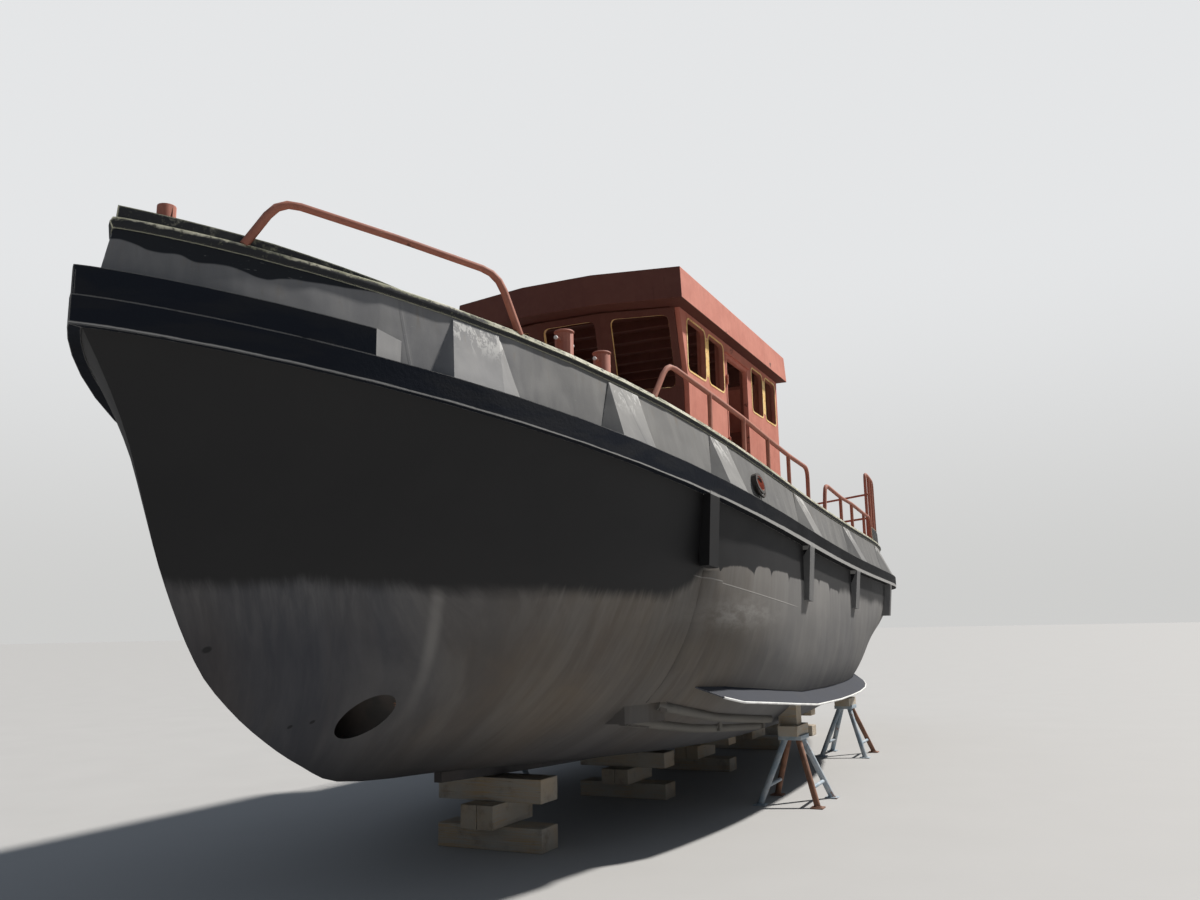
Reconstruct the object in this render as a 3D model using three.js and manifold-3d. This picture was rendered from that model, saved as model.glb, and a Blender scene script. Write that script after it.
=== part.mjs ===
// Steel harbour tug, ashore on timber blocks and pipe trestles.
// Millimetres, +X to the bow, +Y to port, +Z up, floor at Z = 0, X = 0 amidships.
import * as THREE from 'three';
import { mergeVertices } from 'three/addons/utils/BufferGeometryUtils.js';
import Module from 'manifold-3d';

const wasm = await Module();
wasm.setup();

// Driving dimensions of the hull
const fullestX = 500;
const deckEdge = { fore: 6875, aft: 7875, halfBeam: 1947 };
const planFore = { power: 3.455, root: 1.12 };
const planAft = { power: 3.4, root: 2.0 };
const keelline = { fore: { power: 1.7, root: 1.0 }, aft: { power: 2.3, root: 1.0 } };
const section = { power: 3.2, root: 3.6 };
const sheer = { low: 2100, rise: 956, from: -3500, length: 10950, power: 2.02, sternRise: 50 };
const bottom = { height: 500, foreRise: 150, riseFrom: 1300, riseTo: 4500, power: 1.3 };
const bar = { keelDepth: 70, width: 60, foreX: 4400, aftX: -6330, steps: 10 };
const hullStations = 34;
const hullLevels = 11;
const gap = 0.3;

// Stem and stern profiles in the centre plane: height, then X
const stemProfile = [
  [650, 4500], [690, 5150], [740, 5520], [850, 5770], [960, 5980], [1190, 6320],
  [1430, 6570], [1910, 6840], [2300, 6990], [2530, 7075], [2800, 7215],
];
const sternProfile = [
  [500, -4950], [1000, -5000], [1350, -5150], [1500, -5500], [1600, -6000],
  [1750, -6600], [1900, -7040], [2020, -7270],
];

// Deck edge fittings: distances out from the deck edge and up from the sheer line
const strake = { depth: 145, out: 75 };
const fenderBox = { top: 292, out: 70, endTurn: 0.1859, slopeTurn: 0.0088 };
const bulwark = { top: 560, lean: 130, plate: 10 };
const capRail = { radius: 34, height: 572 };
const raisedBow = { top: 672, endTop: 640, endTurn: 0.1908 };
const raisedStern = { top: 785, fromTurn: 0.6634 };
const deckPlate = 30;

// Wheelhouse
const house = {
  halfWidth: 1070, aftX: -1160, frontX: 1960, noseX: 2125, noseHalf: 330,
  sill: 3780, kneeZ: 3800, headZ: 4500, rake: 190, wall: 50,
};
const roof = {
  top: 4800, halfWidth: 1170, cornerX: 2375, noseX: 2540, noseHalf: 360, aftX: -1185,
  flare: 18, plate: 30, ringWidth: 150,
};

const material = {
  hullBlack: paint(0x1c1c1c, 0.55),
  strakeBlack: paint(0x14181f, 0.5),
  bulwarkGrey: paint(0x7d7a78, 0.7),
  capPaint: paint(0x9a9a86, 0.75),
  redOxide: paint(0xa4553f, 0.8),
  railOxide: paint(0x8d4a38, 0.75),
  deckPaint: paint(0x6b4a3e, 0.85),
  bronze: paint(0x8a6a35, 0.45, 0.9),
  steel: paint(0x6f6f6c, 0.5, 0.6),
  timber: paint(0x8a7658, 0.9),
  trestle: paint(0x4f5d6a, 0.7),
};

function paint(color, roughness, metalness = 0.1) {
  return new THREE.MeshStandardMaterial({ color, roughness, metalness });
}

// Solids

function toSolid(geometry) {
  const bare = geometry.index ? geometry.toNonIndexed() : geometry.clone();
  bare.deleteAttribute('normal');
  bare.deleteAttribute('uv');
  const welded = mergeVertices(bare, 1e-3);
  const triVerts = [];
  const index = welded.index.array;
  for (let i = 0; i < index.length; i += 3) {
    const [a, b, c] = [index[i], index[i + 1], index[i + 2]];
    if (a !== b && b !== c && a !== c) triVerts.push(a, b, c);
  }
  return new wasm.Manifold(new wasm.Mesh({
    numProp: 3,
    vertProperties: new Float32Array(welded.attributes.position.array),
    triVerts: new Uint32Array(triVerts),
  }));
}

function toGeometry(solid) {
  const mesh = solid.getMesh();
  const geometry = new THREE.BufferGeometry();
  geometry.setAttribute('position', new THREE.BufferAttribute(new Float32Array(mesh.vertProperties), 3));
  geometry.setIndex(new THREE.BufferAttribute(new Uint32Array(mesh.triVerts), 1));
  return geometry;
}

function fromTriangles(points) {
  let volume = 0;
  for (let i = 0; i < points.length; i += 3) {
    volume += points[i].dot(new THREE.Vector3().crossVectors(points[i + 1], points[i + 2]));
  }
  const ordered = [];
  for (let i = 0; i < points.length; i += 3) {
    const [a, b, c] = [points[i], points[i + 1], points[i + 2]];
    ordered.push(...(volume > 0 ? [a, b, c] : [a, c, b]));
  }
  return toSolid(new THREE.BufferGeometry().setFromPoints(ordered));
}

function joined(solids) {
  return solids.reduce((whole, next) => whole.add(next));
}

// Rings of equal point counts, bridged in order and closed at both ends
function loft(rings) {
  const points = [];
  const quad = (a, b, c, d) => points.push(a, b, c, a, c, d);
  for (let r = 0; r + 1 < rings.length; r++) {
    const count = rings[r].length;
    for (let k = 0; k < count; k++) {
      const next = (k + 1) % count;
      quad(rings[r][k], rings[r][next], rings[r + 1][next], rings[r + 1][k]);
    }
  }
  const first = rings[0];
  const last = rings[rings.length - 1];
  for (let k = 1; k + 1 < first.length; k++) {
    points.push(first[0], first[k + 1], first[k]);
    points.push(last[0], last[k], last[k + 1]);
  }
  return fromTriangles(points);
}

function block(x0, x1, y0, y1, z0, z1) {
  const geometry = new THREE.BoxGeometry(x1 - x0, y1 - y0, z1 - z0);
  geometry.translate((x0 + x1) / 2, (y0 + y1) / 2, (z0 + z1) / 2);
  return toSolid(geometry);
}

function rod(from, to, radius, sides = 12) {
  const start = new THREE.Vector3(...from);
  const along = new THREE.Vector3(...to).sub(start);
  const geometry = new THREE.CylinderGeometry(radius, radius, along.length(), sides);
  const turn = new THREE.Quaternion().setFromUnitVectors(
    new THREE.Vector3(0, 1, 0), along.clone().normalize());
  geometry.applyQuaternion(turn);
  geometry.translate(...start.addScaledVector(along, 0.5).toArray());
  return toSolid(geometry);
}

// A bent pipe: straight runs with a quarter-round bend at each inner point
function pipe(points, radius, bend = 110, sides = 6) {
  const nodes = points.map((p) => new THREE.Vector3(...p));
  const path = new THREE.CurvePath();
  let at = nodes[0];
  for (let i = 1; i + 1 < nodes.length; i++) {
    const before = nodes[i].clone().sub(nodes[i - 1]).setLength(bend);
    const after = nodes[i + 1].clone().sub(nodes[i]).setLength(bend);
    const enter = nodes[i].clone().sub(before);
    const leave = nodes[i].clone().add(after);
    path.add(new THREE.LineCurve3(at, enter));
    path.add(new THREE.QuadraticBezierCurve3(enter, nodes[i], leave));
    at = leave;
  }
  path.add(new THREE.LineCurve3(at, nodes[nodes.length - 1]));
  const rings = [];
  const stops = [];
  path.curves.forEach((curve, n) => {
    const steps = curve.isLineCurve3 ? 1 : 3;
    for (let k = n === 0 ? 0 : 1; k <= steps; k++) stops.push([curve, k / steps]);
  });
  let side = null;
  for (const [curve, t] of stops) {
    const centre = curve.getPoint(t);
    const along = curve.getTangent(t).normalize();
    const upright = Math.abs(along.z) > 0.9;
    const seed = side ?? new THREE.Vector3(upright ? 1 : 0, 0, upright ? 0 : 1);
    side = seed.clone().addScaledVector(along, -seed.dot(along)).normalize();
    const other = new THREE.Vector3().crossVectors(along, side);
    rings.push(Array.from({ length: sides }, (_, k) => {
      const angle = (k / sides) * 2 * Math.PI;
      return centre.clone()
        .addScaledVector(side, Math.cos(angle) * radius)
        .addScaledVector(other, Math.sin(angle) * radius);
    }));
  }
  return loft(rings);
}

// A flat outline of [a, b] points, extruded by depth, then set in place by a matrix
function plate(outline, depth, place) {
  const shape = new THREE.Shape(outline.map(([a, b]) => new THREE.Vector2(a, b)));
  const geometry = new THREE.ExtrudeGeometry(shape, { depth, bevelEnabled: false, curveSegments: 5 });
  geometry.applyMatrix4(place);
  return toSolid(geometry);
}

function frameAt(origin, axisA, axisB) {
  const a = new THREE.Vector3(...axisA).normalize();
  const b = new THREE.Vector3(...axisB).normalize();
  const c = new THREE.Vector3().crossVectors(a, b);
  return new THREE.Matrix4().makeBasis(a, b, c).setPosition(...origin);
}

// Hull form

function along(profile, height) {
  const last = profile[profile.length - 1];
  if (height >= last[0]) return last[1];
  const i = Math.max(1, profile.findIndex(([z]) => z > height));
  const [z0, x0] = profile[i - 1];
  const [z1, x1] = profile[i];
  return x0 + ((x1 - x0) * (height - z0)) / (z1 - z0);
}

function bottomHeight(x) {
  const share = (x - bottom.riseFrom) / (bottom.riseTo - bottom.riseFrom);
  return bottom.height + bottom.foreRise * Math.min(1, Math.max(0, share)) ** bottom.power;
}

function sheerHeight(x) {
  const forward = Math.max(0, (x - sheer.from) / sheer.length);
  const astern = Math.max(0, (sheer.from - x) / 4000);
  return sheer.low + sheer.rise * forward ** sheer.power + sheer.sternRise * astern ** 2;
}

stemProfile.push([sheerHeight(fullestX + deckEdge.fore), fullestX + deckEdge.fore]);
sternProfile.push([sheerHeight(fullestX - deckEdge.aft), fullestX - deckEdge.aft]);

// Half-breadth as a share of the fullest one, at a turn from 0 at the stem to 1 at the stern
function planShare(turn, fore, aft) {
  const c = Math.cos(Math.PI * turn);
  const { power, root } = c > 0 ? fore : aft;
  return Math.max(0, 1 - Math.abs(c) ** power) ** (1 / root);
}

// A point on the deck edge, moved out by `out` and up by `up`
function edgePoint(side, turn, out, up) {
  const c = Math.cos(Math.PI * turn);
  const length = c > 0 ? deckEdge.fore : deckEdge.aft;
  const x = fullestX + length * c;
  const share = planShare(turn, planFore, planAft);
  const y = Math.max(gap / 2, (deckEdge.halfBeam + out) * share);
  return new THREE.Vector3(fullestX + (length + out) * c, side * y, sheerHeight(x) + up);
}

// The turn at which the deck edge, moved out by `out`, passes a given X
function turnAt(x, out = 0) {
  const length = x > fullestX ? deckEdge.fore : deckEdge.aft;
  return Math.acos((x - fullestX) / (length + out)) / Math.PI;
}

function hullPoint(side, turn, level) {
  const c = Math.cos(Math.PI * turn);
  const fore = c > 0;
  const edge = fore ? deckEdge.fore : deckEdge.aft;
  const endTop = sheerHeight(fullestX + (fore ? edge : -edge));
  const profile = fore ? stemProfile : sternProfile;
  const endX = along(profile, profile[0][0] + (endTop - profile[0][0]) * level);
  const x = fullestX + Math.abs(endX - fullestX) * c;
  const low = bottomHeight(x);
  const z = low + (sheerHeight(fullestX + edge * c) - low) * level;
  const blend = (key, low, high) => low[key] + (high[key] - low[key]) * level ** 0.8;
  const share = planShare(turn,
    { power: blend('power', keelline.fore, planFore), root: blend('root', keelline.fore, planFore) },
    { power: blend('power', keelline.aft, planAft), root: blend('root', keelline.aft, planAft) });
  const breadth = deckEdge.halfBeam * (1 - (1 - level) ** section.power) ** (1 / section.root);
  return new THREE.Vector3(x, side * breadth * share, z);
}

function makeHull() {
  const points = [];
  const quad = (a, b, c, d) => {
    points.push(a, b, c);
    points.push(a, c, d);
  };
  const level = (j) => (j / hullLevels) ** 1.7;
  for (const side of [1, -1]) {
    for (let i = 0; i < hullStations; i++) {
      for (let j = 0; j < hullLevels; j++) {
        const corners = [[i, j], [i + 1, j], [i + 1, j + 1], [i, j + 1]]
          .map(([a, b]) => hullPoint(side, a / hullStations, level(b)));
        if (side < 0) corners.reverse();
        quad(...corners);
      }
    }
  }
  for (let i = 0; i < hullStations; i++) {
    const [t0, t1] = [i / hullStations, (i + 1) / hullStations];
    quad(hullPoint(1, t0, 1), hullPoint(1, t1, 1), hullPoint(-1, t1, 1), hullPoint(-1, t0, 1));
  }
  return fromTriangles(points);
}

// A strip that follows the deck edge: profile gives [out, up] points at each turn
function band(side, from, to, steps, profile) {
  const rings = [];
  for (let k = 0; k <= steps; k++) {
    const turn = from + ((to - from) * k) / steps;
    rings.push(profile(turn).map(([out, up]) => edgePoint(side, turn, out, up)));
  }
  return loft(rings);
}

const hull = { solid: makeHull() };
const tug = new THREE.Group();

function add(name, solid, finish) {
  const mesh = new THREE.Mesh(toGeometry(solid), finish);
  mesh.name = name;
  tug.add(mesh);
  return solid;
}

// Underwater fittings

const thruster = { x: 5675, z: 1130, radius: 125, web: 60 };
const shaftLine = { z: 930, radius: 45, bossRadius: 110, bossFrom: -4300, bossTo: -5240, bore: -4700 };
const propeller = { x: -5560, hubRadius: 95, hubLength: 230, tipRadius: 420, blades: 4 };
const rudderLine = { x: -6060, stockRadius: 38, chordFore: 110, chordAft: 560, low: 520, top: 1430 };

function bentHullParts() {
  let body = hull.solid;
  const bossSpan = [[shaftLine.bossFrom, 0, shaftLine.z], [shaftLine.bossTo, 0, shaftLine.z]];
  body = body.add(rod(...bossSpan, shaftLine.bossRadius, 16));
  const boreSpan = [[shaftLine.bore, 0, shaftLine.z], [shaftLine.bossTo - 50, 0, shaftLine.z]];
  body = body.subtract(rod(...boreSpan, shaftLine.radius + 1, 16));
  const stockSpan = [[rudderLine.x, 0, 1300], [rudderLine.x, 0, 1900]];
  body = body.subtract(rod(...stockSpan, rudderLine.stockRadius + 1, 16));
  for (const side of [1, -1]) {
    const span = [[thruster.x, side * thruster.web, thruster.z], [thruster.x, side * 900, thruster.z]];
    body = body.subtract(rod(...span, thruster.radius, 24));
  }
  return body;
}

hull.solid = bentHullParts();
add('hull', hull.solid, material.hullBlack);

function makeKeel() {
  const half = bar.width / 2;
  const stations = [bar.aftX];
  for (let k = 0; k <= bar.steps; k++) {
    stations.push(bottom.riseFrom + ((bar.foreX - bottom.riseFrom) * k) / bar.steps);
  }
  const base = loft(stations.map((x) => {
    const top = bottomHeight(x) - gap;
    const low = bottomHeight(x) - bar.keelDepth;
    return [[-half, low], [half, low], [half, top], [-half, top]]
      .map(([y, z]) => new THREE.Vector3(x, y, z));
  }));
  const heel = bottom.height - gap;
  const pintle = rod([rudderLine.x, 0, heel - 20], [rudderLine.x, 0, heel + 60], 24);
  return clearOfHull(base.add(pintle), 1);
}

function makeRudder() {
  const { x, chordFore, chordAft, low, top } = rudderLine;
  const outline = [
    [chordFore, 0], [chordFore * 0.6, 38], [-60, 50], [-300, 34], [-chordAft, 6],
    [-chordAft, -6], [-300, -34], [-60, -50], [chordFore * 0.6, -38],
  ];
  const rings = [low, top].map((z) => outline.map(([a, b]) => new THREE.Vector3(x + a, b, z)));
  const blade = loft(rings);
  const stock = rod([x, 0, top - 40], [x, 0, 1880], rudderLine.stockRadius, 16);
  const socket = rod([x, 0, low - 10], [x, 0, bottom.height + 70], 25);
  return blade.add(stock).subtract(socket);
}
add('rudder', makeRudder(), material.steel);

function makePropeller() {
  const { x, hubRadius, hubLength, tipRadius, blades } = propeller;
  const hub = new THREE.LatheGeometry([
    new THREE.Vector2(0, -hubLength / 2), new THREE.Vector2(hubRadius, -hubLength / 2),
    new THREE.Vector2(hubRadius, hubLength / 4), new THREE.Vector2(hubRadius * 0.6, hubLength / 2),
    new THREE.Vector2(0, hubLength / 2 + 25),
  ], 20);
  hub.rotateZ(Math.PI / 2);
  hub.translate(x, 0, shaftLine.z);
  let whole = toSolid(hub);
  // Radius as a share of the tip's, then half-chord and pitch angle in degrees
  const stations = [[0.16, 75, 62], [0.35, 120, 48], [0.6, 155, 34], [0.82, 130, 26], [1, 40, 21]];
  for (let n = 0; n < blades; n++) {
    const spin = new THREE.Matrix4().makeRotationX((n / blades) * 2 * Math.PI + Math.PI / 4);
    const rings = stations.map(([share, chord, pitch]) => {
      const r = share * tipRadius;
      const angle = THREE.MathUtils.degToRad(pitch);
      const thick = 16 * (1.15 - share);
      return [[-1, 0], [0, -1], [1, 0], [0, 1]].map(([a, b]) => {
        const px = a * chord * Math.sin(angle) + b * thick * Math.cos(angle);
        const py = a * chord * Math.cos(angle) - b * thick * Math.sin(angle);
        return new THREE.Vector3(px, py, r).applyMatrix4(spin).add(new THREE.Vector3(x, 0, shaftLine.z));
      });
    });
    whole = whole.add(loft(rings));
  }
  const boreSpan = [[x - 60, 0, shaftLine.z], [x + 300, 0, shaftLine.z]];
  return whole.subtract(rod(...boreSpan, shaftLine.radius + gap, 16));
}
add('propeller', makePropeller(), material.bronze);
add('propeller_shaft', rod([propeller.x - 59, 0, shaftLine.z], [shaftLine.bore - 5, 0, shaftLine.z],
  shaftLine.radius, 16), material.steel);

function moved(solid, x, y, z) {
  const geometry = toGeometry(solid);
  geometry.translate(x, y, z);
  return toSolid(geometry);
}

function grownHull(side) {
  const { solid } = hull;
  return joined([solid, moved(solid, 0, side * gap, 0), moved(solid, 0, side * gap, -gap)]);
}
const hullGrown = { 1: grownHull(1), [-1]: grownHull(-1) };

function clearOfHull(solid, side) {
  return solid.subtract(hullGrown[side]);
}
add('keel', makeKeel(), material.hullBlack);

// The bilge keel's root as X and height, from its fore end to its aft end
const bilgeKeel = {
  root: [[3240, 1160], [2820, 1138], [2400, 1104], [1700, 1045], [1000, 990], [0, 970], [-1200, 972],
    [-2400, 985], [-3400, 1010]],
  reach: 190, slope: 37, plate: 10, taper: 420,
};

// Where the hull's side stands at a given X and height, found by stepping along the level lines
function hullHalfBreadth(x, z) {
  let best = null;
  for (let k = 0; k <= 400; k++) {
    const turn = k / 400;
    const c = Math.cos(Math.PI * turn);
    const edge = c > 0 ? deckEdge.fore : deckEdge.aft;
    const top = sheerHeight(fullestX + edge * c);
    const low = bottomHeight(x);
    const point = hullPoint(1, turn, Math.max(0, (z - low) / (top - low)));
    const miss = Math.abs(point.x - x);
    if (!best || miss < best.miss) best = { miss, y: point.y };
  }
  return best.y;
}

// The same line of [x, z] points with one more halfway between each two
function halved(line) {
  return line.flatMap(([x, z], k) => {
    if (k === 0) return [[x, z]];
    const [x0, z0] = line[k - 1];
    return [[(x + x0) / 2, (z + z0) / 2], [x, z]];
  });
}

function makeBilgeKeel(side) {
  const { root, reach, slope, plate: thick, taper } = bilgeKeel;
  const turned = THREE.MathUtils.degToRad(slope);
  const [outward, down] = [Math.cos(turned), Math.sin(turned)];
  const [foreX, aftX] = [root[0][0], root[root.length - 1][0]];
  return clearOfHull(loft(halved(root).map(([x, z]) => {
    const y = hullHalfBreadth(x, z);
    const end = Math.min(foreX - x, x - aftX);
    const width = 6 + (reach - 6) * Math.min(1, end / taper) ** 0.6;
    const corners = [[-70, thick / 2], [-70, -thick / 2], [width, -thick / 2], [width, thick / 2]];
    return corners.map(([along, above]) => new THREE.Vector3(x,
      side * (y + along * outward + above * down), z - along * down + above * outward));
  })), side);
}

// A pair of channels along the turn of the bilge, fed by a riser on the ship's side
// Each channel's middle line as X and height
const cooler = {
  upper: [[3560, 1052], [3080, 970], [2600, 893], [1900, 822], [1330, 770]],
  lower: [[3700, 957], [3240, 885], [2780, 822], [2290, 778], [1700, 738], [1330, 714]],
  half: 40, proud: 45,
  endBox: { x0: 3480, x1: 3860, low: 940, high: 1095, proud: 60 },
  // Webs between the channels: fore X, aft X, lower and upper height
  links: [[2380, 2300, 740, 880], [1410, 1330, 700, 780]],
  riser: { x: 3545, half: 130, low: 1075, high: 1995, proud: 42, chamfer: 45, steps: 8 },
};

function hullRing(side, x, low, high, proud) {
  return [[-120, high], [-120, low], [proud, low], [proud, high]].map(([out, z]) => {
    const y = hullHalfBreadth(x, (low + high) / 2) + out;
    return new THREE.Vector3(x, side * y, z);
  });
}

function makeKeelCooler(side) {
  const { upper, lower, half, proud, links, endBox, riser } = cooler;
  const channels = [upper, lower].map((line) => loft(
    line.map(([x, z]) => hullRing(side, x, z - half, z + half, proud))));
  const { x0: aftX, x1: foreX, low: boxLow, high: boxHigh } = endBox;
  const box = loft([foreX, aftX].map((x) => hullRing(side, x, boxLow, boxHigh, endBox.proud)));
  const webs = links.map(([x1, x0, low, high]) => loft(
    [x1, x0].map((x) => hullRing(side, x, low, high, proud - 10))));
  const { half: wide, proud: face, chamfer } = riser;
  const corners = [
    [-wide, -120], [wide, -120], [wide, 8], [wide - chamfer, face], [chamfer - wide, face], [-wide, 8],
  ];
  const upright = loft(Array.from({ length: riser.steps + 1 }, (_, k) => {
    const z = riser.low + ((riser.high - riser.low) * k) / riser.steps;
    return corners.map(([a, out]) => new THREE.Vector3(riser.x + a,
      side * (hullHalfBreadth(riser.x + a, z) + out), z));
  }));
  return clearOfHull(joined([...channels, box, ...webs, upright]), side);
}

const keelsGrown = {};
for (const [side, name] of [[1, 'port'], [-1, 'starboard']]) {
  const bilge = add(`bilge_keel_${name}`, makeBilgeKeel(side), material.steel);
  keelsGrown[side] = bilge.add(moved(bilge, 0, 0, -gap));
  add(`keel_cooler_${name}`, makeKeelCooler(side), material.steel);
}

// Deck, strakes, bulwarks

function deckSlab(grow, low, high) {
  const rings = [];
  for (let i = 1; i < hullStations; i++) {
    const point = edgePoint(1, i / hullStations, -22, 0);
    const y = point.y + grow;
    rings.push([[y, low], [y, high], [-y, high], [-y, low]]
      .map(([b, h]) => new THREE.Vector3(point.x, b, point.z + h)));
  }
  return loft(rings);
}

// The deck's plates and the bulwarks meet at these stations
const deckPlates = { bow: [4400, 7400], fore: [2000, 4400], house: [-900, 2000], aft: [-7400, -900] };
const sidePlates = { fore: [2000, 7600], aft: [-7600, 2000] };

function between(solid, [from, to]) {
  return solid.intersect(block(from + gap / 2, to - gap / 2, -3000, 3000, 1000, 6000));
}

for (const [place, span] of Object.entries(deckPlates)) {
  add(`deck_${place}`, between(deckSlab(0, gap, deckPlate), span), material.deckPaint);
}

const underDeck = deckSlab(300, -1200, deckPlate + gap);

function onDeck(solid) {
  return solid.subtract(underDeck);
}

const bandSteps = hullStations;
const bulwarkOut = (up) => (-bulwark.lean * up) / bulwark.top;

const strakeProfile = () => [
  [4, 0], [strake.out, 0], [strake.out, strake.depth], [bulwarkOut(strake.depth) + 4, strake.depth],
];

// Upright bars below the strake: X, and how far they reach below the sheer
const fenderBars = [[3740, -500], [1470, -480], [-600, -400], [-3100, -400]];

function makeStrake(side) {
  let whole = band(side, 0, 1, bandSteps, strakeProfile);
  for (const [x, low] of fenderBars) {
    const turn = turnAt(x);
    const half = 0.0036;
    const face = strake.out - 2;
    const profile = () => [[-60, low], [face - 38, low], [face, -5], [face, 20], [16, 20], [-60, -81]];
    whole = whole.add(band(side, turn - half, turn + half, 1, profile));
  }
  return clearOfHull(whole, side);
}

const bulwarkProfile = (from, to) => [
  [bulwarkOut(from) - bulwark.plate, from], [bulwarkOut(from), from], [bulwarkOut(to), to],
  [bulwarkOut(to) - bulwark.plate, to],
];

const wedges = {
  at: [5820, 4635, 3310, 1170, -1020, -3420, -5500],
  half: 160, top: 530, depth: 68, spread: 150,
};
const fairlead = { x: 2630, up: 322, halfLength: 105, halfHeight: 88, rim: 26, proud: 34 };

function ellipse(a, b, count = 20) {
  return Array.from({ length: count }, (_, k) => {
    const angle = (k / count) * 2 * Math.PI;
    return [a * Math.cos(angle), b * Math.sin(angle)];
  });
}

// A knee outside the bulwark: an upright face with sides that spread towards the foot
function makeWedge(side, x) {
  const middle = turnAt(x);
  const [before, after] = [middle - 0.002, middle + 0.002].map((turn) => edgePoint(1, turn, 0, 0));
  const speed = before.distanceTo(after) / 0.004;
  const [half, spread] = [wedges.half / speed, wedges.spread / speed];
  const low = strake.depth + 1.8;
  const ring = (up, out, splay) => {
    const inner = bulwarkOut(up) - 5;
    return [[-half - splay, inner], [-half, out], [half, out], [half + splay, inner]]
      .map(([shift, o]) => edgePoint(side, middle + shift, o, up));
  };
  return loft([ring(low, wedges.depth, spread), ring(wedges.top, bulwarkOut(wedges.top) + 6, 0.02 * spread)]);
}

function makeBulwark(side) {
  let whole = band(side, 0, 1, bandSteps, () => bulwarkProfile(gap, bulwark.top));
  for (const x of wedges.at) whole = whole.add(makeWedge(side, x));
  const turn = turnAt(fairlead.x);
  const origin = edgePoint(side, turn, bulwarkOut(fairlead.up) - 80, fairlead.up);
  const tangent = edgePoint(side, turn - 0.01, 0, 0).sub(edgePoint(side, turn + 0.01, 0, 0)).normalize();
  const outward = new THREE.Vector3(0, side, bulwark.lean / bulwark.top);
  outward.addScaledVector(tangent, -outward.dot(tangent)).normalize();
  const upward = new THREE.Vector3().crossVectors(outward, tangent);
  const place = frameAt(origin.toArray(), tangent.toArray(), upward.toArray());
  const { halfLength, halfHeight, rim, proud } = fairlead;
  const deep = 160;
  whole = whole.add(plate(ellipse(halfLength, halfHeight), 88 + proud, place));
  return whole.subtract(plate(ellipse(halfLength - rim, halfHeight - rim), deep * 2,
    place.clone().multiply(new THREE.Matrix4().makeTranslation(0, 0, -deep))));
}

function capProfile(radius) {
  const centre = bulwarkOut(capRail.height) - 5;
  return () => Array.from({ length: 6 }, (_, k) => {
    const angle = (k / 6) * 2 * Math.PI;
    return [centre + radius * Math.cos(angle), capRail.height + radius * Math.sin(angle)];
  });
}

function raisedStrip(side, from, to, steps, top, grow = 0) {
  const foot = capRail.height - 20;
  const [inner, outer] = [-bulwark.lean - 12 - grow, -bulwark.lean - 4 + grow];
  return band(side, from, to, steps, (turn) => [
    [inner, foot], [outer, foot], [outer - 12, top(turn) + grow], [inner - 12, top(turn) + grow],
  ]);
}

function bowStrip(side, grow) {
  const { top, endTop, endTurn } = raisedBow;
  return raisedStrip(side, 0, endTurn, 12, (turn) => top + ((endTop - top) * turn) / endTurn, grow);
}

function sternStrip(side, grow) {
  return raisedStrip(side, raisedStern.fromTurn, 1, 12, () => raisedStern.top, grow);
}

const caps = {};
for (const [side, name] of [[1, 'port'], [-1, 'starboard']]) {
  add(`rubbing_strake_${name}`, makeStrake(side), material.strakeBlack);
  const cap = band(side, 0, 1, bandSteps, capProfile(capRail.radius));
  caps[side] = joined([band(side, 0, 1, bandSteps, capProfile(capRail.radius + gap)),
    bowStrip(side, gap), sternStrip(side, gap)]);
  const wall = makeBulwark(side).subtract(caps[side]);
  const rail = joined([cap, bowStrip(side), sternStrip(side)]);
  for (const [place, span] of Object.entries(sidePlates)) {
    add(`bulwark_${place}_${name}`, between(wall, span), material.bulwarkGrey);
    add(`cap_rail_${place}_${name}`, between(rail, span), material.capPaint);
  }
}

function makeFenderBox() {
  const cut = fenderBox.endTurn - fenderBox.slopeTurn;
  const profile = (turn) => {
    const slope = Math.max(0, (turn - cut) / fenderBox.slopeTurn);
    const inner = (up) => bulwarkOut(up) + 2.5;
    const out = (up) => inner(up) + (fenderBox.out - inner(up)) * (1 - 0.93 * slope);
    return [[inner(strake.depth), strake.depth + gap], [out(strake.depth), strake.depth + gap],
      [out(fenderBox.top), fenderBox.top], [inner(fenderBox.top), fenderBox.top]];
  };
  const halves = [1, -1].map((side) => {
    const run = band(side, 0, cut, 10, profile);
    return run.add(band(side, cut, fenderBox.endTurn, 1, profile));
  });
  const tip = edgePoint(1, 0, fenderBox.out, strake.depth);
  const bridge = block(tip.x - 60, tip.x - 5, -10, 10, tip.z + 5, tip.z + 120);
  return joined([...halves, bridge]);
}
add('bow_fender_box', makeFenderBox(), material.strakeBlack);

// Rails

const railPipe = 21;

function railPoint(side, x, up, out = -bulwark.lean - 5) {
  return edgePoint(side, turnAt(x, out), out, up).toArray();
}

function makeRail(side, { run, posts, radius = railPipe, out }) {
  const foot = capRail.height + capRail.radius * 0.5;
  const top = pipe(run.map(([x, up]) => railPoint(side, x, up, out)), radius);
  const stands = posts.map((x) => {
    const reach = run.find(([at]) => at === x)[1];
    return rod(railPoint(side, x, foot, out), railPoint(side, x, reach, out), radius * 0.9, 6);
  });
  return joined([top, ...stands]).subtract(caps[side]);
}

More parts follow.
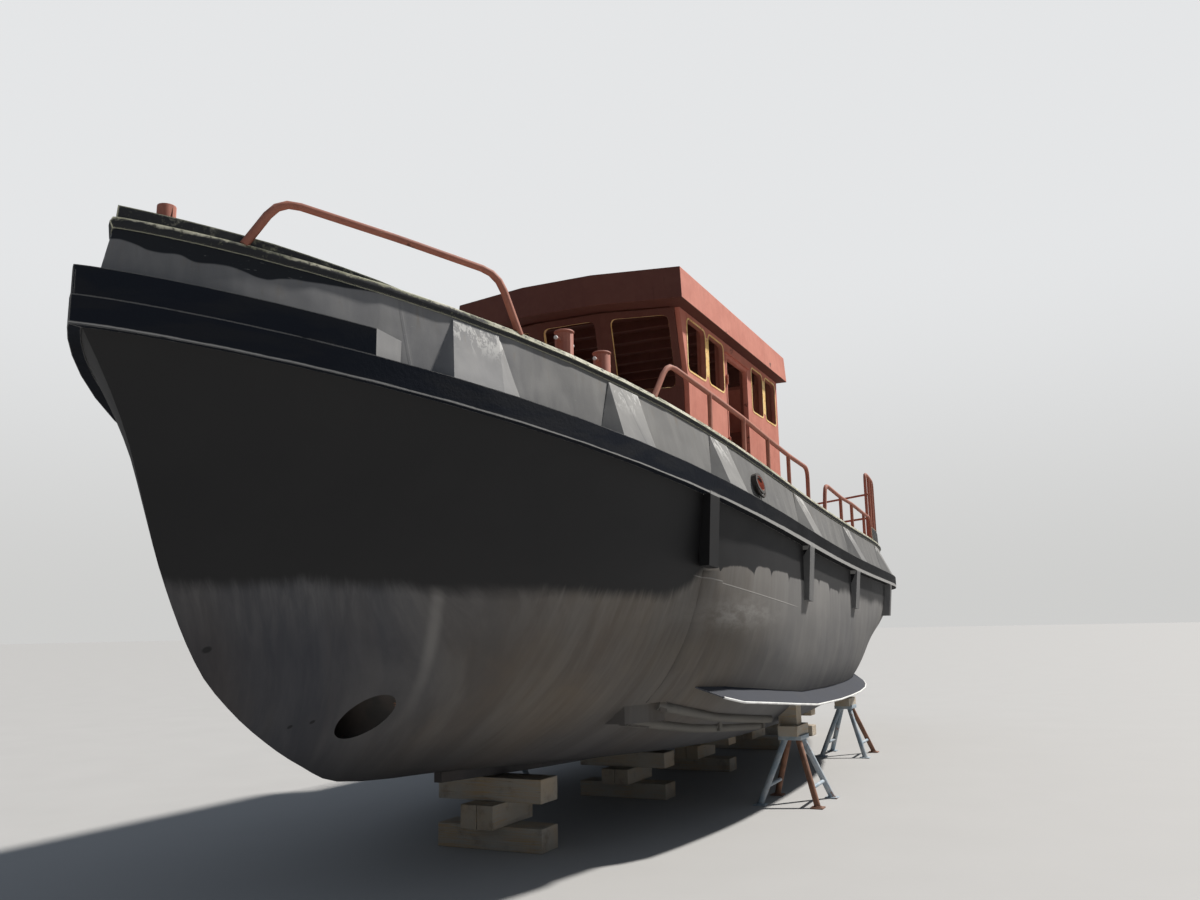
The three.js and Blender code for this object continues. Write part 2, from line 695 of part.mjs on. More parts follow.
// Runs as X and height above the sheer, from foot to foot; posts as the run's X they stand at
const rails = {
  bow: {
    run: [[6820, 600], [6690, 895], [6150, 893], [5576, 915], [5425, 590]],
    posts: [], radius: 24,
  },
  side: {
    run: [
      [4190, 590], [4000, 895], [3350, 876], [2660, 876], [2030, 870], [1370, 876], [640, 905], [655, 590],
    ],
    posts: [3350, 2660, 2030, 1370],
  },
  quarter: {
    run: [
      [-50, 590], [-130, 885], [-900, 868], [-1550, 885], [-2420, 873], [-2960, 880], [-2970, 590],
    ],
    posts: [-900, -1550, -2420],
  },
  stern: {
    run: [[-3040, 590], [-3045, 1485], [-3450, 1490], [-3830, 1495], [-4200, 1500], [-4210, 590]],
    posts: [-3450, -3830], out: -bulwark.lean - 38,
  },
};

// Two bars from the stern frame's fore leg to a post on the deck, at these heights
const guard = { fromX: -3040, post: [-3900, 690], bars: [3300, 2985], radius: 14 };

function makeGuard(side) {
  const [x, y] = guard.post;
  const start = railPoint(side, guard.fromX, 0);
  const post = rod([x, side * y, 2050], [x, side * y, guard.bars[0] + 12], railPipe, 8);
  return guard.bars.reduce((whole, z) => whole.add(
    rod([start[0], start[1], z], [x, side * y, z], guard.radius, 8)), post);
}

for (const [side, name] of [[1, 'port'], [-1, 'starboard']]) {
  for (const [place, rail] of Object.entries(rails)) {
    const solid = makeRail(side, rail);
    add(`${place}_rail_${name}`, place === 'stern' ? onDeck(solid.add(makeGuard(side))) : solid,
      material.railOxide);
  }
}

// Deck fittings

function deckHeight(x) {
  const at = turnAt(x) * hullStations;
  const [low, high] = [Math.floor(at) / hullStations, Math.ceil(at) / hullStations];
  const [a, b] = [edgePoint(1, low, 0, 0), edgePoint(1, high, 0, 0)];
  return a.z + ((b.z - a.z) * (a.x - x)) / Math.max(1e-6, a.x - b.x) + deckPlate;
}

function makeBitts(y) {
  const z = deckHeight(4480);
  const posts = [4740, 4150].map((x) => rod([x, y, z - 10], [x, y, 3555], 62, 16));
  const pins = [4740, 4150].map((x) => rod([x - 125, y, 3480], [x + 125, y, 3480], 12, 8));
  const foot = block(4020, 4870, y - 110, y + 110, z - 60, z + 40);
  return onDeck(joined([...posts, ...pins, foot]));
}
add('fore_bitts_port', makeBitts(1200), material.redOxide);
add('fore_bitts_starboard', makeBitts(-1200), material.redOxide);

const bowPost = { x: 6940, radius: 48, top: 3820, pin: { z: 3700, half: 120, radius: 18 } };

function makeBowPost() {
  const { x, radius, top, pin } = bowPost;
  const post = rod([x, 0, deckHeight(x) - 60], [x, 0, top], radius, 16);
  return onDeck(post.add(rod([x, -pin.half, pin.z], [x, pin.half, pin.z], pin.radius, 8)));
}
add('bow_post', makeBowPost(), material.redOxide);

function makeTowBitt() {
  const z = deckHeight(-2600);
  const posts = [-330, 330].map((y) => rod([-2600, y, z - 30], [-2600, y, z + 780], 84, 16));
  const beam = rod([-2600, -470, z + 560], [-2600, 470, z + 560], 62, 16);
  const foot = block(-2720, -2480, -430, 430, z - 30, z + 20);
  return onDeck(joined([...posts, beam, foot]));
}
add('tow_bitt', makeTowBitt(), material.redOxide);

const hatches = {
  fore: { x0: 3050, x1: 3700, halfWidth: 330, coaming: 250 },
  engine: { x0: -5100, x1: -4200, halfWidth: 450, coaming: 300 },
};

// Hinge pins lie just below the lid's skirt, ahead of the coaming
const hinge = { ahead: 30, below: 70, pin: 8, knuckle: 16, spread: 0.6 };

function lidTop({ x1, x0, coaming }) {
  return deckHeight(x1 > 0 ? x1 : x0) + coaming;
}

function hingeSpots({ halfWidth }) {
  return [-hinge.spread * halfWidth, hinge.spread * halfWidth];
}

function makeCoaming(hatch) {
  const { x0, x1, halfWidth } = hatch;
  const top = lidTop(hatch);
  const outer = block(x0, x1, -halfWidth, halfWidth, deckHeight(x0) - 60, top);
  const [half, low, high] = [halfWidth - 12, top - 900, top + 10];
  const walls = outer.subtract(block(x0 + 12, x1 - 12, -half, half, low, high));
  const axisZ = top - hinge.below;
  const parts = [walls];
  for (const y of hingeSpots(hatch)) {
    for (const y0 of [y - 30, y + 22]) {
      parts.push(block(x1 - 4, x1 + hinge.ahead + 12, y0, y0 + 8, axisZ - 14, axisZ + 12));
    }
    parts.push(rod([x1 + hinge.ahead, y - 29, axisZ], [x1 + hinge.ahead, y + 29, axisZ], hinge.pin, 10));
  }
  return onDeck(joined(parts));
}

function makeLid(hatch) {
  const { x0, x1, halfWidth } = hatch;
  const z = lidTop(hatch);
  const flange = 18;
  const outer = block(x0 - flange, x1 + flange, -halfWidth - flange, halfWidth + flange, z - 50, z + 14);
  const hollow = block(x0 - 8, x1 + 8, -halfWidth - 8, halfWidth + 8, z - 80, z + gap);
  let lid = outer.subtract(hollow);
  const axis = [x1 + hinge.ahead, z - hinge.below];
  for (const y of hingeSpots(hatch)) {
    lid = lid.add(block(x1 + 9, x1 + hinge.ahead, y - 17, y + 17, axis[1] - 4, z - 40));
    lid = lid.add(rod([axis[0], y - 17, axis[1]], [axis[0], y + 17, axis[1]], hinge.knuckle, 10));
  }
  for (const y of hingeSpots(hatch)) {
    lid = lid.subtract(rod([axis[0], y - 20, axis[1]], [axis[0], y + 20, axis[1]], hinge.pin + 1, 10));
  }
  return lid;
}

for (const [name, hatch] of Object.entries(hatches)) {
  add(`${name}_hatch_coaming`, makeCoaming(hatch), material.redOxide);
  add(`${name}_hatch_lid`, makeLid(hatch), material.redOxide);
}

// Wheelhouse

const houseFloor = (x) => deckHeight(x) + gap;

// Half outline of the front: [x, y] from the side wall to the nose facet, set back by depth
function frontOutline(depth, shift) {
  const y = house.halfWidth - house.wall - gap;
  const slope = (house.noseX - house.frontX) / (house.halfWidth - house.noseHalf);
  const corner = house.frontX + slope * (house.halfWidth - y);
  return [[corner - depth + shift, y], [house.noseX - depth + shift, house.noseHalf - depth * 0.12],
    [house.noseX - depth + shift, -house.noseHalf + depth * 0.12], [corner - depth + shift, -y]];
}

function windowHole(width, height, radius) {
  const shape = new THREE.Shape();
  const [w, h] = [width / 2, height / 2];
  shape.moveTo(-w + radius, -h);
  shape.lineTo(w - radius, -h);
  shape.quadraticCurveTo(w, -h, w, -h + radius);
  shape.lineTo(w, h - radius);
  shape.quadraticCurveTo(w, h, w - radius, h);
  shape.lineTo(-w + radius, h);
  shape.quadraticCurveTo(-w, h, -w, h - radius);
  shape.lineTo(-w, -h + radius);
  shape.quadraticCurveTo(-w, -h, -w + radius, -h);
  return shape;
}

function cutter(width, height, radius, centre, axisA, axisB) {
  const geometry = new THREE.ExtrudeGeometry(windowHole(width, height, radius),
    { depth: 400, bevelEnabled: false, curveSegments: 4 });
  geometry.translate(0, 0, -200);
  geometry.applyMatrix4(frameAt(centre, axisA, axisB));
  return toSolid(geometry);
}

// How far the raked front stands forward of its foot
function shiftAt(z) {
  return (house.rake * Math.max(0, z - house.kneeZ)) / (house.headZ - house.kneeZ);
}

function makeFrontWall() {
  const levels = [2150, house.kneeZ, house.headZ - gap];
  const rings = levels.map((z) => {
    const outer = frontOutline(0, shiftAt(z));
    const inner = frontOutline(house.wall, shiftAt(z)).reverse();
    return [...outer, ...inner].map(([x, y]) => new THREE.Vector3(x, y, z));
  });
  // The ring is bridged as four quads round a bent strip, so its ends are closed strip by strip
  const points = [];
  const quad = (a, b, c, d) => points.push(a, b, c, a, c, d);
  for (let r = 0; r + 1 < rings.length; r++) {
    for (let k = 0; k < 8; k++) {
      const next = (k + 1) % 8;
      quad(rings[r][k], rings[r][next], rings[r + 1][next], rings[r + 1][k]);
    }
  }
  const [low, high] = [rings[0], rings[rings.length - 1]];
  for (let k = 0; k < 3; k++) {
    quad(low[k], low[7 - k], low[6 - k], low[k + 1]);
    quad(high[k], high[k + 1], high[6 - k], high[7 - k]);
  }
  let wall = fromTriangles(points);
  const height = 4450 - house.sill;
  const middle = (4450 + house.sill) / 2;
  const tilt = house.rake / (house.headZ - house.kneeZ);
  const up = [tilt, 0, 1];
  wall = wall.subtract(cutter(540, height, 60, [house.noseX + shiftAt(middle), 0, middle], [0, 1, 0], up));
  for (const side of [1, -1]) {
    const x = (house.frontX + house.noseX) / 2 + shiftAt(middle);
    const y = side * ((house.halfWidth + house.noseHalf) / 2 - 10);
    const along = [side * (house.frontX - house.noseX), house.halfWidth - house.noseHalf, 0];
    wall = wall.subtract(cutter(540, height, 60, [x, y, middle], along, up));
  }
  return onDeck(wall);
}
add('wheelhouse_front', makeFrontWall(), material.redOxide);

// Side openings: fore X, aft X, bottom, top, corner radius
const sideOpenings = [
  [1960, 1460, 3950, 4440, 50],
  [1360, 900, 3950, 4440, 50],
  [-100, -520, 3950, 4440, 50],
  [-630, -1060, 3950, 4440, 50],
];
const doorway = { fore: 800, aft: 90, top: 4350, sill: 120 };

function makeSideWall(side) {
  const y0 = side > 0 ? house.halfWidth - house.wall : -house.halfWidth;
  const { aftX, frontX, kneeZ, headZ, rake } = house;
  const outline = [
    [aftX, 2050], [frontX - 40, 2050], [frontX, 2150], [frontX, kneeZ],
    [frontX + rake - gap, headZ - gap], [aftX, headZ - gap],
  ];
  const place = frameAt([0, y0 + house.wall, 0], [1, 0, 0], [0, 0, 1]);
  let wall = plate(outline, house.wall, place);
  for (const [fore, aft, low, high, radius] of sideOpenings) {
    const centre = [(fore + aft) / 2, y0 + house.wall / 2, (low + high) / 2];
    wall = wall.subtract(cutter(fore - aft, high - low, radius, centre, [1, 0, 0], [0, 0, 1]));
  }
  const { fore, aft, top, sill } = doorway;
  const doorLow = deckHeight(aft) + sill;
  const centre = [(fore + aft) / 2, y0 + house.wall / 2, (top + doorLow) / 2];
  wall = wall.subtract(cutter(fore - aft, top - doorLow, 40, centre, [1, 0, 0], [0, 0, 1]));
  return onDeck(wall);
}
add('wheelhouse_port', makeSideWall(1), material.redOxide);
add('wheelhouse_starboard', makeSideWall(-1), material.redOxide);

function makeAftWall() {
  const half = house.halfWidth - house.wall - gap;
  let wall = block(house.aftX, house.aftX + house.wall, -half, half, 2000, house.headZ - gap);
  for (const side of [1, -1]) {
    wall = wall.subtract(cutter(560, 490, 50, [house.aftX, side * 480, 4195], [0, 1, 0], [0, 0, 1]));
  }
  return onDeck(wall);
}
add('wheelhouse_aft', makeAftWall(), material.redOxide);

function roofOutline(grow) {
  const { halfWidth, cornerX, noseX, noseHalf, aftX } = roof;
  return [[cornerX + grow, halfWidth + grow], [noseX + grow, noseHalf], [noseX + grow, -noseHalf],
    [cornerX + grow, -halfWidth - grow], [aftX - grow, -halfWidth - grow], [aftX - grow, halfWidth + grow]];
}

function makeRoof() {
  const ring = (grow, z) => roofOutline(grow).map(([x, y]) => new THREE.Vector3(x, y, z));
  const shell = loft([ring(roof.flare, house.headZ), ring(0, roof.top)]);
  const inset = -roof.ringWidth - 30;
  const hollow = loft([ring(inset, house.headZ - 50), ring(inset, roof.top - roof.plate)]);
  let whole = shell.subtract(hollow);
  for (let x = -900; x < 2200; x += 400) {
    whole = whole.add(block(x, x + 45, -1000, 1000, roof.top - 120, roof.top - 20));
  }
  return whole;
}
add('wheelhouse_roof', makeRoof(), material.redOxide);

// Cradle: timber blocks under the keel and pipe trestles under the bilges

const keelBlocks = [3600, 1150, -800, -2900, -4700];

for (const [n, x] of keelBlocks.entries()) {
  const top = bottomHeight(x - 140) - bar.keelDepth - gap;
  const layers = [];
  const tall = top / 3;
  for (let k = 0; k < 3; k++) {
    const across = k % 2 === 0;
    const [hx, hy] = across ? [130, 450] : [300, 140];
    layers.push(block(x - hx, x + hx, -hy, hy, k === 0 ? 0 : k * tall - 1, (k + 1) * tall));
  }
  add(`keel_block_${n + 1}`, joined(layers), material.timber);
}

const trestle = { foot: 290, legRadius: 28, headHalf: 150, headZ: 600 };
const trestleX = { fore: 950, aft: -2600 };

// The stands' centres lie where the bilge passes this height
const padTop = 905;
const trestleY = (x) => hullHalfBreadth(x, padTop - 45);

function makeTrestle(side, x) {
  const { headZ, headHalf } = trestle;
  const y = side * trestleY(x);
  const head = block(x - headHalf, x + headHalf, y - 110, y + 110, headZ - 40, headZ);
  const legs = [];
  for (const [a, b] of [[1, 1], [1, -1], [-1, 1], [-1, -1]]) {
    const foot = [x + a * trestle.foot, y + b * trestle.foot * 0.9, 0];
    legs.push(rod(foot, [x + a * 70, y + b * 60, headZ - 20], trestle.legRadius, 8));
    legs.push(block(foot[0] - 60, foot[0] + 60, foot[1] - 60, foot[1] + 60, 0, 12));
  }
  const low = trestle.foot * 0.78;
  legs.push(rod([x - low, y + low * 0.88, 160], [x + low, y + low * 0.88, 160], 18, 8));
  legs.push(rod([x - low, y - low * 0.88, 160], [x + low, y - low * 0.88, 160], 18, 8));
  const whole = joined([head, ...legs]);
  return whole.intersect(block(x - 1000, x + 1000, y - 1000, y + 1000, 0, 2000));
}

function makePad(side, x) {
  const y = side * trestleY(x);
  const low = block(x - 210, x + 210, y - 90, y + 90, trestle.headZ + gap, trestle.headZ + 90);
  const [inner, outer] = [y - side * 110, y + side * 60];
  const high = block(x - 90, x + 90, Math.min(inner, outer), Math.max(inner, outer),
    trestle.headZ + 89, padTop);
  return clearOfHull(low.add(high), side).subtract(keelsGrown[side]);
}

for (const [side, name] of [[1, 'port'], [-1, 'starboard']]) {
  for (const [place, x] of Object.entries(trestleX)) {
    add(`trestle_${place}_${name}`, makeTrestle(side, x), material.trestle);
    add(`trestle_pad_${place}_${name}`, makePad(side, x), material.timber);
  }
}

export default tug;
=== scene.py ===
# Looks of a steel harbour tug ashore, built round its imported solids. Metres, +X to the bow, +Y to port.
import math
import random

import bmesh
import bpy
from mathutils import Matrix, Vector


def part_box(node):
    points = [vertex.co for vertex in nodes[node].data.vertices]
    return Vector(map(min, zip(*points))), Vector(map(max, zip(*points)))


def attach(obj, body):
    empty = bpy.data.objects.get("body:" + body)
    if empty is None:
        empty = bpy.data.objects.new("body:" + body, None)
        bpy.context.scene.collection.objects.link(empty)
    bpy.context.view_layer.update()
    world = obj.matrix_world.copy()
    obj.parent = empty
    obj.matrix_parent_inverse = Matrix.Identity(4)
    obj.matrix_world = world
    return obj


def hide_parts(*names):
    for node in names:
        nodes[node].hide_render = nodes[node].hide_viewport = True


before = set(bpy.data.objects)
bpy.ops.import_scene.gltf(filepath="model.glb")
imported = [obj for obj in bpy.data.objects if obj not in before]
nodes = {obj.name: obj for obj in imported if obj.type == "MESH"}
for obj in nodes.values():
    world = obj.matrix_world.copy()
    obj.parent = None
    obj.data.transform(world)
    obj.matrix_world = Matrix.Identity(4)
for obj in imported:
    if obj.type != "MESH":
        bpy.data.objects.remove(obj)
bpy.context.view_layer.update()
chance = random.Random(7)
sides = {"port": 1, "starboard": -1}
print("frame loaded:", len(nodes), "nodes")

# The deck's edge, as the hull was lofted: plan powers and roots, then the sheer and the bulwark
hullForm = {
    "fullestX": 0.5, "foreLength": 6.875, "aftLength": 7.875, "halfBeam": 1.947,
    "forePower": 3.455, "foreRoot": 1.12, "aftPower": 3.4, "aftRoot": 2.0,
    "sheerLow": 2.1, "sheerRise": 0.956, "sheerFrom": -3.5, "sheerLength": 10.95, "sheerPower": 2.02,
    "sternRise": 0.05, "sternLength": 4.0,
    "bulwarkLean": 0.13, "bulwarkTop": 0.56,
}


def sheerHeight(x):
    form = hullForm
    forward = max(0.0, (x - form["sheerFrom"]) / form["sheerLength"])
    astern = max(0.0, (form["sheerFrom"] - x) / form["sternLength"])
    rise = form["sheerRise"] * forward ** form["sheerPower"]
    return form["sheerLow"] + rise + form["sternRise"] * astern ** 2


def edgePoint(side, x, out=0.0, up=0.0):
    # A point by the deck's edge at station x, moved outboard and up
    form = hullForm
    end = "fore" if x > form["fullestX"] else "aft"
    along = min(1.0, abs(x - form["fullestX"]) / (form[end + "Length"] + out))
    share = (1 - along ** form[end + "Power"]) ** (1 / form[end + "Root"])
    return Vector((x, side * (form["halfBeam"] + out) * share, sheerHeight(x) + up))


def bulwarkOut(up):
    return -hullForm["bulwarkLean"] * up / hullForm["bulwarkTop"]


deckEnd = 7.375  # how far the deck's edge reaches, fore and aft

# Under water: stem and stern lines as height and X, the keel line, and the fullness of the sections
underForm = {
    "stem": [(0.65, 4.5), (0.69, 5.15), (0.74, 5.52), (0.85, 5.77), (0.96, 5.98), (1.19, 6.32), (1.43, 6.57),
        (1.91, 6.84), (2.30, 6.99), (2.53, 7.075), (2.80, 7.215), (sheerHeight(deckEnd), deckEnd)],
    "stern": [(0.5, -4.95), (1.0, -5.0), (1.35, -5.15), (1.5, -5.5), (1.6, -6.0), (1.75, -6.6), (1.9, -7.04),
        (2.02, -7.27), (sheerHeight(-deckEnd), -deckEnd)],
    "bottom": 0.5, "foreRise": 0.15, "riseFrom": 1.3, "riseTo": 4.5, "risePower": 1.3, "levelPower": 0.8,
    "forePower": 1.7, "aftPower": 2.3, "lowRoot": 1.0, "sectionPower": 3.2, "sectionRoot": 3.6,
}


def slopesOf(line):
    # Slopes at each point that let a cubic pass through them without overshooting
    steps = [(x1 - x0) / (z1 - z0) for (z0, x0), (z1, x1) in zip(line, line[1:])]
    inner = [2 * a * b / (a + b) if a * b > 0 else 0.0 for a, b in zip(steps, steps[1:])]
    return [steps[0]] + inner + [steps[-1]]


lineSlopes = {key: slopesOf(underForm[key]) for key in ("stem", "stern")}


def smoothAlong(key, height):
    line, slopes = underForm[key], lineSlopes[key]
    index = max([k for k, (z, _) in enumerate(line[:-1]) if z <= height] or [0])
    (z0, x0), (z1, x1) = line[index], line[index + 1]
    span = z1 - z0
    t = min(1.0, max(0.0, (height - z0) / span))
    start = (1 + 2 * t) * (1 - t) ** 2 * x0 + t * (1 - t) ** 2 * span * slopes[index]
    return start + t * t * (3 - 2 * t) * x1 + t * t * (t - 1) * span * slopes[index + 1]


def bottomHeight(x):
    form = underForm
    share = min(1.0, max(0.0, (x - form["riseFrom"]) / (form["riseTo"] - form["riseFrom"])))
    return form["bottom"] + form["foreRise"] * share ** form["risePower"]


def hullPoint(turn, level):
    # Port side point: turn 0 at the stem to 1 at the stern, level 0 at the keel to 1 at the deck's edge
    form = underForm
    c = math.cos(math.pi * turn)
    end, key = ("fore", "stem") if c > 0 else ("aft", "stern")
    line, middle = form[key], hullForm["fullestX"]
    endX = smoothAlong(key, line[0][0] + (line[-1][0] - line[0][0]) * level)
    x = middle + abs(endX - middle) * c
    low = bottomHeight(x)
    z = low + (sheerHeight(middle + hullForm[end + "Length"] * c) - low) * level
    blend = level ** form["levelPower"]
    power = form[end + "Power"] + (hullForm[end + "Power"] - form[end + "Power"]) * blend
    root = form["lowRoot"] + (hullForm[end + "Root"] - form["lowRoot"]) * blend
    share = max(0.0, 1 - abs(c) ** power) ** (1 / root)
    full = (1 - (1 - level) ** form["sectionPower"]) ** (1 / form["sectionRoot"])
    return Vector((x, hullForm["halfBeam"] * full * share, z))


def halfBreadth(x, z):
    # Half the hull's breadth at a station and height, found by halving the turn
    low, high = 0.0, 1.0
    foot = bottomHeight(x)
    for _ in range(30):
        turn = (low + high) / 2
        c = math.cos(math.pi * turn)
        length = hullForm["foreLength"] if c > 0 else hullForm["aftLength"]
        top = sheerHeight(hullForm["fullestX"] + length * c)
        point = hullPoint(turn, min(1.0, max(0.0, (z - foot) / (top - foot))))
        low, high = (turn, high) if point.x > x else (low, turn)
    return point.y


# Node building

class Wire:
    # A socket to reckon with: each + - * / puts in a Math node
    def __init__(self, graph, socket):
        self.graph = graph
        self.socket = socket

    def __add__(self, other):
        return self.graph.math("ADD", self, other)

    def __sub__(self, other):
        return self.graph.math("SUBTRACT", self, other)

    def __rsub__(self, other):
        return self.graph.math("SUBTRACT", other, self)

    def __mul__(self, other):
        return self.graph.math("MULTIPLY", self, other)

    def __truediv__(self, other):
        return self.graph.math("DIVIDE", self, other)


class Graph:
    def __init__(self, tree, look=None):
        self.tree = tree
        self.look = look or {}

    def feed(self, node, inputs):
        # An input is a wire, a plain value, or the name of a colour in the look
        for key, value in inputs.items():
            socket = node.inputs[key]
            if isinstance(value, Wire):
                self.tree.links.new(value.socket, socket)
                continue
            if isinstance(value, str):
                value = self.look[value]
            socket.default_value = (*value, 1.0) if socket.type == "RGBA" else value

    def put(self, kind, inputs=None, **settings):
        node = self.tree.nodes.new("ShaderNode" + kind)
        for key, value in settings.items():
            setattr(node, key, value)
        self.feed(node, inputs or {})
        return node

    def wire(self, kind, inputs=None, output=0, **settings):
        return Wire(self, self.put(kind, inputs, **settings).outputs[output])

    def math(self, operation, first, second=0.0):
        return self.wire("Math", {0: first, 1: second}, operation=operation)

    def mix(self, amount, first, second):
        return self.wire("Mix", {0: amount, 6: first, 7: second}, 2, data_type="RGBA")

    def layered(self, color, *layers):
        # Lays colours over one another, each by its mask and how much of it shows
        for mask, amount, over in layers:
            color = self.mix(mask if amount == 1 else mask * amount, color, over)
        return color

    def rise(self, value, low, high, toLow=0.0, toHigh=1.0):
        inputs = {"Value": value, "From Min": low, "From Max": high, "To Min": toLow, "To Max": toHigh}
        return self.wire("MapRange", inputs, interpolation_type="SMOOTHSTEP")

    def parts(self, vector):
        return [Wire(self, socket) for socket in self.put("SeparateXYZ", {0: vector}).outputs]

    def scaled(self, vector, factors):
        return self.wire("VectorMath", {0: vector, 1: factors}, operation="MULTIPLY")

    def noise(self, vector, scale, detail=4.0, rough=0.55, warp=0.0):
        inputs = {"Vector": vector, "Scale": scale, "Detail": detail, "Roughness": rough, "Distortion": warp}
        return self.wire("TexNoise", inputs)

    def cell(self, value):
        # One random number for each whole step of the value
        return self.wire("TexWhiteNoise", {"W": self.math("FLOOR", value)}, noise_dimensions="1D")

    def group(self, tree, **values):
        # Reads the effect at the point's own place, unless another is given
        values.setdefault("Place", self.place)
        masks = [Wire(self, socket) for socket in self.put("Group", values, node_tree=tree).outputs]
        return masks[0] if len(masks) == 1 else masks


def newGroup(name, inputs, outputs):
    # An input without a number is a vector
    tree = bpy.data.node_groups.new(name, "ShaderNodeTree")
    for socketName, value in inputs.items():
        kind = "NodeSocketVector" if value is None else "NodeSocketFloat"
        socket = tree.interface.new_socket(socketName, in_out="INPUT", socket_type=kind)
        if value is not None:
            socket.default_value = value
    for socketName in outputs:
        tree.interface.new_socket(socketName, in_out="OUTPUT", socket_type="NodeSocketFloat")
    graph = Graph(tree)
    given = tree.nodes.new("NodeGroupInput").outputs
    return graph, [Wire(graph, given[key]) for key in inputs]


def finishGroup(graph, **sockets):
    graph.feed(graph.tree.nodes.new("NodeGroupOutput"), sockets)
    return graph.tree


def makeSheerGroup():
    # Height above the deck's edge line
    graph, (place,) = newGroup("aboveSheer", {"Place": None}, ["Above"])
    form = hullForm
    x, _, z = graph.parts(place)
    forward = graph.math("MAXIMUM", (x - form["sheerFrom"]) / form["sheerLength"], 0.0)
    line = graph.math("POWER", forward, form["sheerPower"]) * form["sheerRise"] + form["sheerLow"]
    return finishGroup(graph, Above=z - line)


def makeStreakGroup():
    # Upright brush and run marks, from 0 to 1
    graph, (place, across, through, down, low, high) = newGroup("streaks", {"Place": None, "Across": 6.0,
        "Through": 0.8, "Down": 0.8, "Low": 0.4, "High": 0.65}, ["Mask"])
    stretched = graph.scaled(place, graph.wire("CombineXYZ", {0: across, 1: through, 2: down}))
    return finishGroup(graph, Mask=graph.rise(graph.noise(stretched, 1.0, 5.0, 0.6, 0.4), low, high))


def makeBlotchGroup():
    # Clouded patches, from 0 to 1
    graph, (place, scale, low, high, rough) = newGroup("blotches", {"Place": None, "Scale": 2.0, "Low": 0.42,
        "High": 0.62, "Rough": 0.6}, ["Mask"])
    return finishGroup(graph, Mask=graph.rise(graph.noise(place, scale, 6.0, rough, 0.3), low, high))


def makeEdgeGroup():
    # Worn arrises: where the rounded normal parts from the true one, broken up by noise
    graph, (place, radius, breakup, amount) = newGroup("wornEdges", {"Place": None, "Radius": 0.01,
        "Breakup": 30.0, "Amount": 0.5}, ["Mask"])
    rounded = graph.wire("Bevel", {"Radius": radius}, samples=4)
    normals = {0: rounded, 1: graph.wire("NewGeometry", output="Normal")}
    edge = graph.rise(graph.wire("VectorMath", normals, "Value", operation="DOT_PRODUCT"), 0.99, 0.82)
    kept = graph.rise(graph.noise(place, breakup, 4.0, 0.65) + amount, 0.85, 1.05)
    return finishGroup(graph, Mask=edge * kept)


def makeRustGroup():
    # Rust spots, and the runs they leave
    graph, (place, scale, amount) = newGroup("rusting", {"Place": None, "Scale": 5.0, "Amount": 0.5},
        ["Spot", "Run"])
    level = 0.78 - amount * 0.25
    spot = graph.rise(graph.noise(place, scale, 8.0, 0.7, 0.2), level, level + 0.06)
    run = graph.noise(graph.scaled(place, (5.0, 5.0, 0.7)), scale, 4.0, 0.6)
    return finishGroup(graph, Spot=spot, Run=graph.rise(run, level, level + 0.12))


def makeDustGroup():
    # Pale dust on faces that look up
    inputs = {"Place": None, "Facing": None, "Amount": 0.5}
    graph, (place, facing, amount) = newGroup("dust", inputs, ["Mask"])
    upward = graph.rise(graph.parts(facing)[2], 0.35, 0.95)
    drift = graph.rise(graph.noise(place, 3.5, 6.0, 0.65), 0.35, 0.7)
    return finishGroup(graph, Mask=upward * drift * amount)


aboveSheer = makeSheerGroup()
streaks = makeStreakGroup()
blotches = makeBlotchGroup()
wornEdges = makeEdgeGroup()
rusting = makeRustGroup()
dust = makeDustGroup()


def startMaterial(name, look=None, metallic=0.0, gloss=0.5):
    made = bpy.data.materials.new(name)
    made.use_nodes = True
    made.node_tree.nodes.clear()
    graph = Graph(made.node_tree, look)
    graph.material = made
    coords = graph.put("TexCoord").outputs
    graph.place, graph.facing = Wire(graph, coords["Object"]), Wire(graph, coords["Normal"])
    graph.shader = graph.put("BsdfPrincipled", {"Metallic": metallic, "Specular IOR Level": gloss})
    graph.put("OutputMaterial", {0: Wire(graph, graph.shader.outputs[0])})
    return graph


def finishMaterial(graph, color, roughness, height=None, relief=0.002):
    graph.feed(graph.shader, {"Base Color": color, "Roughness": roughness})
    if height is not None:
        bump = graph.wire("Bump", {"Height": height, "Distance": relief, "Strength": 1.0})
        graph.feed(graph.shader, {"Normal": bump})
    return graph.material


